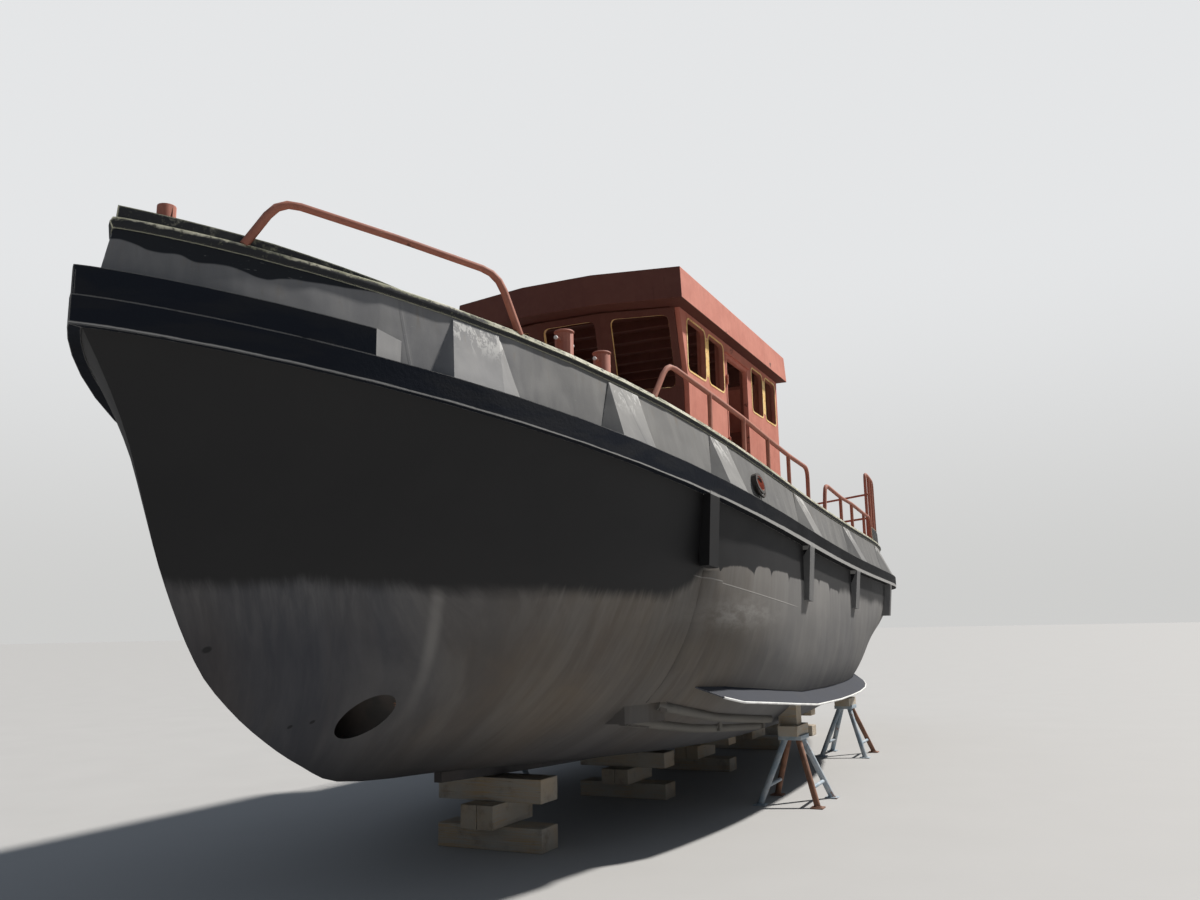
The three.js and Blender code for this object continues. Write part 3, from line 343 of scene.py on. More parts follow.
def makeHullPaint():
    # Black topsides over a brushed grey-brown underbody, parted by a soft edge that is scalloped amidships
    look = {
        "black": (0.016, 0.016, 0.017), "blackWorn": (0.034, 0.033, 0.033), "bowDark": (0.036, 0.037, 0.045),
        "brown": (0.098, 0.085, 0.071), "warm": (0.132, 0.106, 0.081), "blueGrey": (0.056, 0.060, 0.072),
        "grey": (0.150, 0.146, 0.142), "pale": (0.29, 0.28, 0.265), "rust": (0.13, 0.058, 0.03),
        "edgeHeight": 1.86, "edgeLift": 0.21, "edgeLiftX": 2.7, "liftSpan": 3.4, "liftFrom": 4.02,
        "liftTo": 3.5, "edgeDip": -0.032, "scallopWidth": 0.47, "scallopNotch": 0.055, "scallopStep": 0.05,
        "scallopsFrom": 0.2, "scallopsTo": 3.6,
        "weldBelowSheer": -0.56, "weldFrom": 1.66, "weldTo": 3.8, "weldHalf": 0.004,
        "streakX": 5.453, "streakZ": 1.095, "streakSlope": 0.318, "streakHalf": 0.055,
        "patch": (2.92, 1.70), "patchHalf": (0.62, 0.105),
        "darkSpots": [(6.577, 1.533, 0.022), (6.02, 1.10, 0.014), (5.93, 1.12, 0.014)],
    }
    graph = startMaterial("hullPaint", look, gloss=0.22)
    place, rise, noise = graph.place, graph.rise, graph.noise
    x, y, z = graph.parts(place)
    above = graph.group(aboveSheer)
    # strokes run down the sections amidships and lean aft below at the bow
    leaning = graph.wire("CombineXYZ", {0: x + z * rise(x, 4.7, 6.1, 0.0, -0.42), 1: y, 2: z})
    wide = graph.group(streaks, Place=leaning, Across=1.9, Through=0.3, Down=0.16, Low=0.36, High=0.68)
    broad = graph.group(streaks, Place=leaning, Across=5.0, Through=0.4, Down=0.9, Low=0.40, High=0.66)
    fine = graph.group(streaks, Place=leaning, Across=27.0, Through=0.3, Down=4.0, Low=0.35, High=0.75)
    cloud = graph.group(blotches, Scale=0.9, Low=0.35, High=0.65)
    # where the black ends: a long rise amidships, round-topped strokes there, brushed out at the bow
    fromMiddle = (x - look["edgeLiftX"]) / look["liftSpan"]
    lift = graph.math("EXPONENT", fromMiddle * fromMiddle * -1.0) * rise(x, look["liftFrom"], look["liftTo"])
    edge = lift * look["edgeLift"] + look["edgeHeight"] + rise(x, 5.0, 5.7, look["edgeDip"], 0.0)
    cells = x / look["scallopWidth"] + noise(graph.scaled(place, (1.0, 0.0, 0.0)), 1.3, 2.0) * 1.6
    notch = graph.math("POWER", graph.math("ABSOLUTE", graph.math("FRACT", cells) * 2.0 - 1.0), 9.0)
    step = graph.cell(cells)
    fore = rise(x, look["scallopsTo"] + 0.1, look["scallopsTo"] - 0.1)
    amidships = fore * rise(x, look["scallopsFrom"] - 0.3, look["scallopsFrom"] + 0.1)
    scallop = ((step - 0.4) * look["scallopStep"] - notch * look["scallopNotch"]) * amidships
    brushed = (fine - 0.5) * rise(amidships, 0.0, 1.0, 0.022, 0.006)
    patchy = (noise(leaning, 1.6, 3.0) - 0.5) * 0.16
    edge = edge + scallop + brushed + patchy * rise(amidships, 0.0, 1.0, 1.0, 0.2)
    fromEdge = z - edge
    dark = rise(fromEdge / rise(amidships, 0.0, 1.0, 0.050, 0.008), -1.0, 1.0)
    nearEdge = rise(fromEdge, -0.38, -0.02)
    column = step * amidships * rise(fromEdge, -0.5, -0.1)
    # painted shade: the underbody low at the bow, by the keel, darkened toward black
    bowKeelShade = rise(z, 1.05, 0.65) * rise(x, 4.0, 5.0)
    # a scraped patch amidships and one long pale stroke at the bow
    acrossPatch = (x - look["patch"][0]) / look["patchHalf"][0]
    upPatch = (z - look["patch"][1]) / look["patchHalf"][1]
    inPatch = graph.math("EXPONENT", (acrossPatch * acrossPatch + upPatch * upPatch) * -1.0)
    scraped = rise(noise(graph.scaled(place, (2.0, 2.0, 5.0)), 2.2, 6.0, 0.65), 0.38, 0.62, 0.25, 1.0)
    fromStroke = graph.math("ABSOLUTE", x - ((z - look["streakZ"]) * look["streakSlope"] + look["streakX"]))
    stroke = rise(fromStroke, look["streakHalf"], 0.004) * rise(z, 1.0, 1.6)
    spots, runs = graph.group(rusting, Scale=3.0, Amount=0.30)
    low = graph.layered("brown", (rise(x, 4.6, 6.4), 1, "blueGrey"), (wide, 0.7, "warm"),
        (rise(x, 3.4, 1.8), 1, "grey"), (cloud, 0.35, "blueGrey"), (broad, 0.14, "pale"),
        (rise(x, 5.3, 6.7), 0.75, "bowDark"), (fine * nearEdge, 0.12, "pale"), (nearEdge, 0.10, "pale"),
        (fine, 0.045, "pale"), (column, 0.30, "pale"), (rise(z, 1.15, 0.55), 0.55, "blueGrey"),
        (bowKeelShade, 0.62, "black"), (inPatch * scraped, 0.8, "pale"), (stroke, 0.36, "pale"),
        (spots, 0.5, "rust"), (runs, 0.18, "rust"))
    upper = graph.layered("black", (cloud, 0.22, "blackWorn"), (rise(x, 3.0, 0.5), 0.5, "blackWorn"))
    # one bare weld amidships
    weld = rise(graph.math("ABSOLUTE", above - look["weldBelowSheer"]), look["weldHalf"] * 1.5,
        look["weldHalf"] * 0.4)
    reach = rise(x, look["weldTo"], look["weldTo"] - 0.1)
    bare = weld * (reach * rise(x, look["weldFrom"], look["weldFrom"] + 0.3))
    color = graph.layered(low, (dark, 1, upper), (bare, 0.8, "pale"))
    # dark spots painted toward black; the first stands for a small hole, its black disk a painted shade of
    # the hole's inside
    for spotX, spotZ, radius in look["darkSpots"]:
        apart = {0: graph.wire("CombineXYZ", {0: x, 2: z}), 1: (spotX, 0, spotZ)}
        away = graph.wire("VectorMath", apart, "Value", operation="DISTANCE")
        color = graph.layered(color, (rise(away, radius, radius * 0.5), 0.8, "black"))
    hollows = noise(graph.scaled(place, (1.2, 1.2, 1.6)), 1.0, 2.0, 0.5)
    height = hollows * 5.0 + bare * 0.5 + noise(place, 90.0, 3.0, 0.6) * 0.05
    rough = graph.wire("MapRange", {"Value": dark, "To Min": 0.74, "To Max": 0.55}) + cloud * 0.06
    return finishMaterial(graph, color, rough, height, 0.004)


def makeStrakePaint():
    # Blue-black fender strake with bright arrises that widen towards the stern: worn paint, and along the
    # lower edge a bright line that is partly a painted highlight of the lit edge
    look = {"base": (0.013, 0.0155, 0.022), "baseAft": (0.012, 0.012, 0.0125), "dull": (0.021, 0.022, 0.025),
        "bright": (0.34, 0.335, 0.325), "lineAtBow": 0.001, "lineAft": 0.034}
    graph = startMaterial("strakePaint", look, gloss=0.05)
    place, rise, noise = graph.place, graph.rise, graph.noise
    x = graph.parts(place)[0]
    above = graph.group(aboveSheer)
    cloud = graph.group(blotches, Place=graph.scaled(place, (0.5, 0.5, 2.0)), Scale=3.0)
    aft = rise(x, 5.2, 1.2)
    grain = noise(graph.scaled(place, (6.0, 6.0, 30.0)), 1.0, 5.0, 0.65)
    width = aft * look["lineAft"] + look["lineAtBow"]
    # the bright line low on the strake is worn paint and a painted highlight, left off faces that look
    # steeply down
    lowEdge = rise(above + (grain - 0.5) * 0.012 - width, 0.003, -0.003)
    down = rise(graph.parts(graph.facing)[2], -0.55, -0.35)
    rubbedAndLit = lowEdge * down * rise(above + aft * 0.03, -0.010, -0.004) * rise(grain, 0.25, 0.45, 0.55, 1.0)
    edge = graph.group(wornEdges, Radius=0.010, Breakup=9.0, Amount=0.58)
    bare = graph.math("MAXIMUM", rubbedAndLit, edge * 0.7)
    color = graph.layered("base", (aft, 1, "baseAft"), (cloud, 0.6, "dull"), (bare, 1, "bright"))
    height = noise(place, 40.0, 4.0, 0.6) + noise(place, 2.0, 2.0) * 4.0
    rough = cloud * 0.15 + rise(down, 0.0, 1.0, 0.75, 0.45)
    return finishMaterial(graph, color, rough, height, 0.002)


def makeBulwarkPaint(name="bulwarkPaint", wedge=False):
    # Thin faded grey over the bulwark plates, black under the rail at the bow
    look = {
        "grey": (0.148, 0.146, 0.142), "bowGrey": (0.165, 0.166, 0.174), "darkGrey": (0.098, 0.100, 0.106),
        "pale": (0.30, 0.295, 0.28), "black": (0.022, 0.024, 0.028), "stain": (0.17, 0.145, 0.11),
        "scraped": (0.62, 0.6138, 0.589), "edge": (0.50, 0.50, 0.50),
        "bandTop": 0.56, "bandFore": 0.085, "bandFrom": 6.2, "bandTo": 6.75,
        "plateSpan": 1.55, "plateShift": 20.22,
    }
    graph = startMaterial(name, look, gloss=0.12)
    place, rise, noise = graph.place, graph.rise, graph.noise
    x = graph.parts(place)[0]
    above = graph.group(aboveSheer)
    cloud = graph.group(blotches, Scale=1.6, Low=0.36, High=0.66)
    marks = graph.group(streaks, Across=7.0, Through=7.0, Down=1.4, Low=0.42, High=0.7)
    runs = graph.group(streaks, Across=22.0, Through=22.0, Down=0.9, Low=0.56, High=0.74)
    alongPlates = x + look["plateShift"]
    grime = rise(above, 0.22, 0.145) * noise(place, 9.0, 4.0)
    color = graph.layered("grey", (rise(x, 4.9, 6.0), 1, "bowGrey"), (cloud, 0.4, "darkGrey"),
        (marks, 0.25, "pale"), (graph.cell(alongPlates / look["plateSpan"]), 0.22, "pale"),
        (runs * rise(above, 0.25, 0.55), 0.55, "stain"), (grime, 0.7, "darkGrey"))
    if wedge:
        stretched = graph.scaled(place, (3.0, 3.0, 1.0))
        flaking = graph.group(blotches, Place=stretched, Scale=4.0, Low=0.5, High=0.56, Rough=0.8)
        color = graph.mix(flaking * rise(above, 0.30, 0.5) * 0.5 + 0.11, color, "scraped")
    else:
        wave = noise(graph.scaled(place, (1.0, 1.0, 0.15)), 3.4, 1.5, 0.45)
        depth = rise(x, look["bandFrom"], look["bandTo"]) * (wave * (look["bandFore"] * 2))
        band = rise(above - (look["bandTop"] - depth), -0.006, 0.006)
        color = graph.mix(band * rise(x, 6.05, 6.3), color, "black")
    flattened = graph.scaled(place, (2.0, 2.0, 14.0))
    scratches = graph.group(blotches, Place=flattened, Scale=9.0, Low=0.66, High=0.7, Rough=0.7)
    edge = graph.group(wornEdges, Radius=0.008, Breakup=25.0, Amount=0.38)
    fromSeam = graph.math("ABSOLUTE", graph.math("MODULO", alongPlates, look["plateSpan"]) - 0.02)
    seam = rise(fromSeam, 0.012, 0.004)
    color = graph.layered(color, (scratches, 0.6, "pale"), (edge, 0.6, "edge"), (seam, 0.22, "darkGrey"))
    height = noise(place, 2.3, 2.0) * 5.0 + seam * 0.25 + noise(place, 70.0, 4.0, 0.65) * 0.12
    return finishMaterial(graph, color, cloud * 0.12 + 0.68, height, 0.003)


def makeCapPaint():
    # Cap rail: mossy pale paint with dark scuffs; faces that look up painted pale as lit and the rest dark as
    # painted shade, with a bright arris line that is partly a painted highlight
    look = {"moss": (0.22, 0.22, 0.145), "chalk": (0.46, 0.44, 0.35), "scuff": (0.04, 0.04, 0.036),
        "under": (0.030, 0.031, 0.033), "edge": (0.74, 0.73, 0.54)}
    graph = startMaterial("capPaint", look, gloss=0.2)
    place, rise, noise = graph.place, graph.rise, graph.noise
    speck = noise(place, 34.0, 7.0, 0.75)
    cloud = graph.group(blotches, Scale=5.0, Low=0.38, High=0.62)
    top = graph.layered("moss", (cloud, 1, "chalk"), (rise(speck, 0.52, 0.60), 1, "scuff"))
    under = graph.layered("under", (rise(speck, 0.58, 0.68), 0.7, "moss"))
    # painted light and shade: faces that look up take the pale top, the others the dark underside
    lit = rise(graph.parts(graph.facing)[2] + (noise(place, 12.0, 5.0, 0.7) - 0.5) * 0.9, 0.12, 0.3)
    # worn arrises made a nearly unbroken bright line, partly a painted highlight of the lit top edge
    edge = graph.group(wornEdges, Radius=0.013, Breakup=14.0, Amount=0.72)
    color = graph.layered(under, (lit, 1, top), (edge, 0.9, "edge"))
    return finishMaterial(graph, color, speck * 0.3 + 0.5, speck + noise(place, 6.0, 3.0) * 1.5, 0.003)


def makeOxide(name, base, worn, deep, dusty=0.35, scale=1.0, gloss=0.5):
    # Matt red-brown primer: sanded paler clouds, rust spots with runs, dust on top
    look = {"base": base, "worn": worn, "deep": deep, "rust": (0.10, 0.035, 0.018),
        "edge": (0.62, 0.36, 0.26), "dust": (0.55, 0.47, 0.39)}
    graph = startMaterial(name, look, gloss=gloss)
    cloud = graph.group(blotches, Scale=1.8 * scale, Low=0.35, High=0.7)
    small = graph.group(blotches, Scale=11.0 * scale, Low=0.45, High=0.62)
    marks = graph.group(streaks, Across=12.0 * scale, Through=12.0 * scale, Down=1.0, Low=0.45, High=0.72)
    spots, runs = graph.group(rusting, Scale=4.0 * scale, Amount=0.55)
    edge = graph.group(wornEdges, Radius=0.006, Breakup=30.0, Amount=0.35)
    settled = graph.group(dust, Facing=graph.facing, Amount=dusty)
    color = graph.layered("base", (cloud, 0.55, "worn"), (small, 0.25, "worn"), (marks, 0.16, "deep"),
        (spots, 0.85, "rust"), (runs, 0.45, "deep"), (edge, 0.45, "edge"), (settled, 1, "dust"))
    fineGrain, ripples = graph.noise(graph.place, 85.0, 4.0, 0.65), graph.noise(graph.place, 2.2, 2.0)
    return finishMaterial(graph, color, cloud * 0.16 + 0.68, fineGrain * 0.25 + spots + ripples * 5.0, 0.0022)


def makeRimPaint():
    # Cream primer on the cut edges of the windows, chipped to rust
    look = {"cream": (0.88, 0.57, 0.20), "pale": (0.94, 0.70, 0.34), "rust": (0.42, 0.17, 0.10)}
    graph = startMaterial("rimPaint", look)
    chip = graph.noise(graph.place, 26.0, 6.0, 0.7)
    cloud = graph.group(blotches, Scale=7.0)
    color = graph.layered("cream", (cloud, 1, "pale"), (graph.rise(chip, 0.58, 0.64), 1, "rust"))
    return finishMaterial(graph, color, chip * 0.2 + 0.5, chip, 0.0015)


def makePlainSteel(name, base, second, scale, metallic, rough, rustAmount, gloss):
    # Worn metal or paint in two tones with rust in its pits
    look = {"base": base, "second": second, "rust": (0.22, 0.09, 0.045), "edge": (0.60, 0.60, 0.60)}
    graph = startMaterial(name, look, metallic, gloss)
    cloud = graph.group(blotches, Scale=scale, Low=0.38, High=0.62)
    spots = graph.group(rusting, Scale=scale * 0.8, Amount=rustAmount)[0]
    edge = graph.group(wornEdges, Radius=0.006, Breakup=40.0, Amount=0.4)
    color = graph.layered("base", (cloud, 1, "second"), (spots, 0.8, "rust"), (edge, 0.4, "edge"))
    height = graph.noise(graph.place, 120.0, 4.0) * 0.3 + spots
    return finishMaterial(graph, color, cloud * 0.2 + rough, height, 0.0015)


def makeTimber(name="timber", endGrain=False):
    # Weathered sawn baulks: grain along the length or rings on the ends, silvered, with checks and dirt
    look = {"fresh": (0.46, 0.33, 0.19), "silver": (0.42, 0.39, 0.34), "crack": (0.05, 0.035, 0.022),
        "grime": (0.14, 0.11, 0.08), "heart": (0.04, -0.03, 0)}
    graph = startMaterial(name, look)
    rise, noise = graph.rise, graph.noise
    onFace = graph.wire("UVMap")
    if endGrain:
        fromHeart = graph.wire("VectorMath", {0: onFace, 1: look["heart"]}, operation="ADD")
        away = graph.wire("VectorMath", {0: fromHeart}, "Value", operation="LENGTH")
        rings = graph.math("SINE", (away + noise(onFace, 8.0, 3.0) * 0.03) * 700.0)
        grain = rise(rings, -0.6, 1.0)
        checks = noise(onFace, 14.0, 5.0, 0.7, 1.2)
    else:
        grain = rise(noise(graph.scaled(onFace, (1.5, 42.0, 1.0)), 1.6, 6.0, 0.6, 1.4), 0.35, 0.65)
        checks = noise(graph.scaled(onFace, (2.2, 60.0, 1.0)), 1.0, 4.0, 0.6, 0.8)
    silvered = rise(noise(graph.place, 2.5, 5.0, 0.6), 0.35, 0.7)
    crack = rise(checks, 0.66, 0.74)
    grime = rise(noise(graph.place, 6.0, 6.0, 0.7), 0.5, 0.75)
    color = graph.layered("fresh", (grain, 1, "silver"), (silvered, 1, "silver"), (crack, 0.85, "crack"),
        (grime, 0.5, "grime"))
    return finishMaterial(graph, color, grain * 0.1 + 0.78, grain * 0.5 - crack * 2.0, 0.002)


# Material name, base, worn and deep colours, then dust, scale and gloss where they differ
oxides = {
    "oxide": ("redOxide", (0.50, 0.160, 0.108), (0.64, 0.245, 0.175), (0.27, 0.080, 0.048)),
    # front: a darker copy of the red primer for faces that look forward and the roof's underside, a painted
    # shade
    "front": ("frontShadeOxide", (0.115, 0.043, 0.033), (0.15, 0.063, 0.048), (0.065, 0.024, 0.017),
        0.15, 1.0, 0.2),
    "bitt": ("bittOxide", (0.34, 0.115, 0.078), (0.45, 0.18, 0.125), (0.17, 0.055, 0.034), 0.3, 2.0),
    "rail": ("railOxide", (0.30, 0.105, 0.068), (0.42, 0.165, 0.11), (0.15, 0.050, 0.030), 0.3, 2.5),
    "deck": ("deckOxide", (0.23, 0.105, 0.075), (0.30, 0.165, 0.125), (0.14, 0.06, 0.042), 0.42, 0.8),
    # room: a darker copy of the red primer inside the wheelhouse and on the windows' cut edges, a painted
    # shade
    "room": ("roomShadeOxide", (0.30, 0.10, 0.066), (0.40, 0.17, 0.12), (0.15, 0.048, 0.03), 0.2),
}
# Material name, two tones, scale, metallic, roughness, rust and gloss
steels = {
    # bilge: dark blue-grey standing in for the hull's shadow over the plates, a painted shade
    "bilge": ("bilgeShadePaint", (0.030, 0.034, 0.046), (0.055, 0.058, 0.068), 3.0, 0.0, 0.7, 0.2, 0.15),
    # bare: bright bare steel; on the bilge bars a painted highlight of the sunlit outer edge
    "bare": ("bareEdgeAndHighlight", (0.80, 0.80, 0.78), (0.62, 0.62, 0.60), 9.0, 0.0, 0.42, 0.35, 0.5),
    "cooler": ("coolerPaint", (0.085, 0.080, 0.070), (0.125, 0.118, 0.105), 3.0, 0.0, 0.6, 0.4, 0.5),
    "tunnel": ("tunnelPaint", (0.035, 0.033, 0.03), (0.06, 0.05, 0.045), 6.0, 0.0, 0.75, 0.6, 0.5),
    "rudder": ("rudderPaint", (0.075, 0.072, 0.068), (0.15, 0.135, 0.12), 3.5, 0.0, 0.6, 0.7, 0.5),
    "bronze": ("castBronze", (0.36, 0.24, 0.10), (0.22, 0.20, 0.13), 7.0, 0.85, 0.38, 0.1, 0.5),
    "shaft": ("shaftSteel", (0.42, 0.41, 0.39), (0.30, 0.28, 0.26), 9.0, 0.9, 0.32, 0.3, 0.5),
    "trestleBlue": ("trestleBlue", (0.24, 0.31, 0.37), (0.40, 0.44, 0.47), 7.0, 0.0, 0.5, 0.75, 0.5),
    "trestleRust": ("trestleRust", (0.26, 0.125, 0.075), (0.17, 0.09, 0.06), 9.0, 0.0, 0.75, 0.5, 0.5),
}
paints = {
    "hull": makeHullPaint(), "strake": makeStrakePaint(), "bulwark": makeBulwarkPaint(),
    "wedge": makeBulwarkPaint("wedgePaint", wedge=True), "cap": makeCapPaint(),
    **{key: makeOxide(*row) for key, row in oxides.items()}, "rim": makeRimPaint(),
    **{key: makePlainSteel(*row) for key, row in steels.items()},
    "timber": makeTimber(), "timberEnd": makeTimber("timberEnd", endGrain=True),
}
print("materials made:", len(paints))


# Mesh building

mergeReach, flatDegrees = 0.00004, 0.6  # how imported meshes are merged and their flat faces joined


def newObject(name, data):
    made = bpy.data.objects.new(name, data)
    bpy.context.scene.collection.objects.link(made)
    return made


def meshFrom(bm, name):
    mesh = bpy.data.meshes.new(name)
    bm.to_mesh(mesh)
    bm.free()
    return mesh


def placePiece(name, bm, paintKeys, body="hull", stands=()):
    piece = newObject(name, meshFrom(bm, name))
    for key in paintKeys:
        piece.data.materials.append(paints[key])
    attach(piece, body)
    if stands:
        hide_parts(*stands)


def softenEdges(bm, sharpDegrees):
    limit = math.radians(sharpDegrees)
    for face in bm.faces:
        face.smooth = True
    for edge in bm.edges:
        edge.smooth = len(edge.link_faces) == 2 and edge.calc_face_angle(0.0) < limit


def bevelSharp(bm, width, segments=2, sharpDegrees=35):
    limit = math.radians(sharpDegrees)
    sharp = [e for e in bm.edges if len(e.link_faces) == 2 and e.calc_face_angle(0.0) > limit]
    bmesh.ops.bevel(bm, geom=sharp, offset=width, segments=segments, profile=0.5, affect="EDGES",
        material=-1, clamp_overlap=True)
    bmesh.ops.dissolve_degenerate(bm, dist=0.0001, edges=bm.edges)


def packedCopy(node):
    bm = bmesh.new()
    bm.from_mesh(nodes[node].data)
    bmesh.ops.remove_doubles(bm, verts=bm.verts, dist=mergeReach)
    return bm


def joinFlats(bm):
    bmesh.ops.dissolve_limit(bm, angle_limit=math.radians(flatDegrees), verts=bm.verts, edges=bm.edges)


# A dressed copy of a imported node: flat faces joined, arrises eased, then shaded by angle
def dressNode(node, paintKeys, body="hull", bevel=0.0, sharp=35, choose=None, reshape=None):
    bm = packedCopy(node)
    bmesh.ops.dissolve_degenerate(bm, dist=mergeReach, edges=bm.edges)
    if reshape:
        reshape(bm)
    if bevel:
        joinFlats(bm)
        bevelSharp(bm, bevel, sharpDegrees=sharp)
    bm.normal_update()
    if choose:
        for face in bm.faces:
            face.material_index = choose(face.calc_center_median(), face.normal)
    softenEdges(bm, sharp)
    for face in bm.faces:
        if len(face.verts) > 4:
            face.smooth = False
    placePiece(node + "_dressed", bm, paintKeys, body, [node])


def addBox(bm, corner, opposite):
    made = bmesh.ops.create_cube(bm, size=1.0)["verts"]
    bmesh.ops.scale(bm, vec=[abs(b - a) for a, b in zip(corner, opposite)], verts=made)
    bmesh.ops.translate(bm, vec=[(a + b) / 2 for a, b in zip(corner, opposite)], verts=made)


def placedAlong(axis, centre):
    place = Vector(axis).to_track_quat("Z", "Y").to_matrix().to_4x4()
    place.translation = centre
    return place


def addRod(bm, start, end, radius, segments=16):
    start, end = Vector(start), Vector(end)
    bmesh.ops.create_cone(bm, cap_ends=True, segments=segments, radius1=radius, radius2=radius,
        depth=(end - start).length, matrix=placedAlong(end - start, (start + end) / 2))


# A welded collar: a ring of round section about a pipe
def addCollar(bm, centre, axis, ringRadius, wireRadius, segments=20, wireSegments=8):
    circle = bmesh.ops.create_circle(bm, cap_ends=False, segments=wireSegments, radius=wireRadius,
        matrix=Matrix.Rotation(math.pi / 2, 4, "X"))["verts"]
    bmesh.ops.translate(bm, vec=(ringRadius, 0, 0), verts=circle)
    edges = list({e for v in circle for e in v.link_edges})
    spun = bmesh.ops.spin(bm, geom=circle + edges, cent=(0, 0, 0), axis=(0, 0, 1), dvec=(0, 0, 0),
        angle=2 * math.pi, steps=segments, use_merge=True, use_duplicate=False)
    waiting = [v for v in circle + spun["geom_last"] if v.is_valid and isinstance(v, bmesh.types.BMVert)]
    linked = set()
    while waiting:
        v = waiting.pop()
        if v not in linked:
            linked.add(v)
            waiting.extend(e.other_vert(v) for e in v.link_edges)
    bmesh.ops.recalc_face_normals(bm, faces=list({f for v in linked for f in v.link_faces}))
    bmesh.ops.transform(bm, matrix=placedAlong(axis, centre), verts=list(linked))


# A tube of round section through the points, closed at both ends
def addTube(bm, points, radius, segments):
    points = [Vector(point) for point in points]
    rings = []
    for index, point in enumerate(points):
        ahead = points[min(index + 1, len(points) - 1)] - points[max(index - 1, 0)]
        rings.append(bmesh.ops.create_circle(bm, cap_ends=index in (0, len(points) - 1), segments=segments,
            radius=radius, matrix=placedAlong(ahead, point))["verts"])
    for first, second in zip(rings, rings[1:]):
        loops = {e for v in first + second for e in v.link_edges
            if all(w in first for w in e.verts) or all(w in second for w in e.verts)}
        bmesh.ops.bridge_loops(bm, edges=list(loops))
    around = {f for ring in rings for v in ring for f in v.link_faces}
    bmesh.ops.recalc_face_normals(bm, faces=list(around))


# A plate with the given corners, made thick by a push
def addPlate(bm, corners, push):
    face = bm.faces.new([bm.verts.new(corner) for corner in corners])
    pushed = bmesh.ops.extrude_face_region(bm, geom=[face])["geom"]
    bmesh.ops.translate(bm, vec=push, verts=[v for v in pushed if isinstance(v, bmesh.types.BMVert)])


def outwardOf(x, side):
    # Level directions square to the deck's edge and along it
    step, last = 0.03, 7.37
    along = (edgePoint(side, min(x + step, last)) - edgePoint(side, x - step)).normalized()
    outward = Vector((along.y, -along.x, 0)) * (-side)
    return outward.normalized(), along


# Joins plain cylinders to a mesh or cuts them out of it
def carve(mesh, cuts):
    carved = newObject("carved", mesh)
    tools = []
    for operation, start, end, radius, segments in cuts:
        bm = bmesh.new()
        addRod(bm, start, end, radius, segments)
        tools.append(newObject("tool", meshFrom(bm, "tool")))
        step = carved.modifiers.new("cut", "BOOLEAN")
        step.operation, step.solver, step.object = operation, "EXACT", tools[-1]
    bpy.context.view_layer.update()
    bm = bmesh.new()
    bm.from_mesh(carved.evaluated_get(bpy.context.evaluated_depsgraph_get()).data)
    for thing in [carved] + tools:
        spent = thing.data
        bpy.data.objects.remove(thing)
        bpy.data.meshes.remove(spent)
    return bm


# Hull, keel and what is welded to them

def buildHull():
    skin = {"stations": 102, "levels": 30, "levelPower": 1.7, "merge": 0.0001, "topReach": 0.002, "sharp": 35}
    shaft = {"z": 0.93, "boss": (-4.3, -5.24, 0.11), "bore": (-4.7, -5.3, 0.046), "darkFrom": -4.69,
        "darkReach": 0.06}
    stock = {"x": -6.06, "z": (1.3, 1.9), "radius": 0.039}
    tunnel = {"x": 5.675, "z": 1.13, "radius": 0.125, "web": 0.06, "reach": 0.9, "wall": 0.131,
        "floor": 0.115, "floorY": 0.07}
    bm = bmesh.new()
    grid = bmesh.ops.create_grid(bm, x_segments=skin["stations"], y_segments=skin["levels"], size=1.0)
    for v in grid["verts"]:
        v.co = hullPoint((1 - v.co.x) / 2, ((v.co.y + 1) / 2) ** skin["levelPower"])
    top = [e for e in bm.edges if e.is_boundary
        and all(abs(v.co.z - sheerHeight(v.co.x)) < skin["topReach"] and v.co.y > 0.001 for v in e.verts)]
    for v in bmesh.ops.extrude_edge_only(bm, edges=top)["geom"]:
        if isinstance(v, bmesh.types.BMVert):
            v.co.y = 0.0
    whole = bm.verts[:] + bm.edges[:] + bm.faces[:]
    bmesh.ops.mirror(bm, geom=whole, axis="Y", merge_dist=skin["merge"])
    bmesh.ops.remove_doubles(bm, verts=bm.verts, dist=skin["merge"])
    bmesh.ops.dissolve_degenerate(bm, dist=skin["merge"], edges=bm.edges)
    bmesh.ops.holes_fill(bm, edges=[e for e in bm.edges if e.is_boundary], sides=0)
    bmesh.ops.recalc_face_normals(bm, faces=bm.faces)
    print("hull skin:", len(bm.faces), "faces,", sum(not e.is_manifold for e in bm.edges), "open edges")
    cuts = [(step, (fore, 0, shaft["z"]), (aft, 0, shaft["z"]), radius, 32)
        for step, (fore, aft, radius) in (("UNION", shaft["boss"]), ("DIFFERENCE", shaft["bore"]))]
    low, high = ((stock["x"], 0, z) for z in stock["z"])
    cuts.append(("DIFFERENCE", low, high, stock["radius"], 32))
    for side in sides.values():
        inner, outer = ((tunnel["x"], side * y, tunnel["z"]) for y in (tunnel["web"], tunnel["reach"]))
        cuts.append(("DIFFERENCE", inner, outer, tunnel["radius"], 48))
    bm = carve(meshFrom(bm, "hull_skin"), cuts)
    bm.normal_update()
    for face in bm.faces:
        centre = face.calc_center_median()
        away = math.hypot(centre.x - tunnel["x"], centre.z - tunnel["z"])
        onWall = away < tunnel["wall"] and abs(face.normal.y) < 0.5
        onFloor = away < tunnel["floor"] and abs(centre.y) < tunnel["floorY"]
        fromShaft = max(abs(centre.y), abs(centre.z - shaft["z"]))
        inBore = centre.x < shaft["darkFrom"] and fromShaft < shaft["darkReach"]
        face.material_index = 1 if onWall or onFloor or inBore else 0
    softenEdges(bm, skin["sharp"])
    placePiece("hull_skin", bm, ["hull", "tunnel"], stands=["hull"])
    dressNode("keel", ["hull"], bevel=0.006)
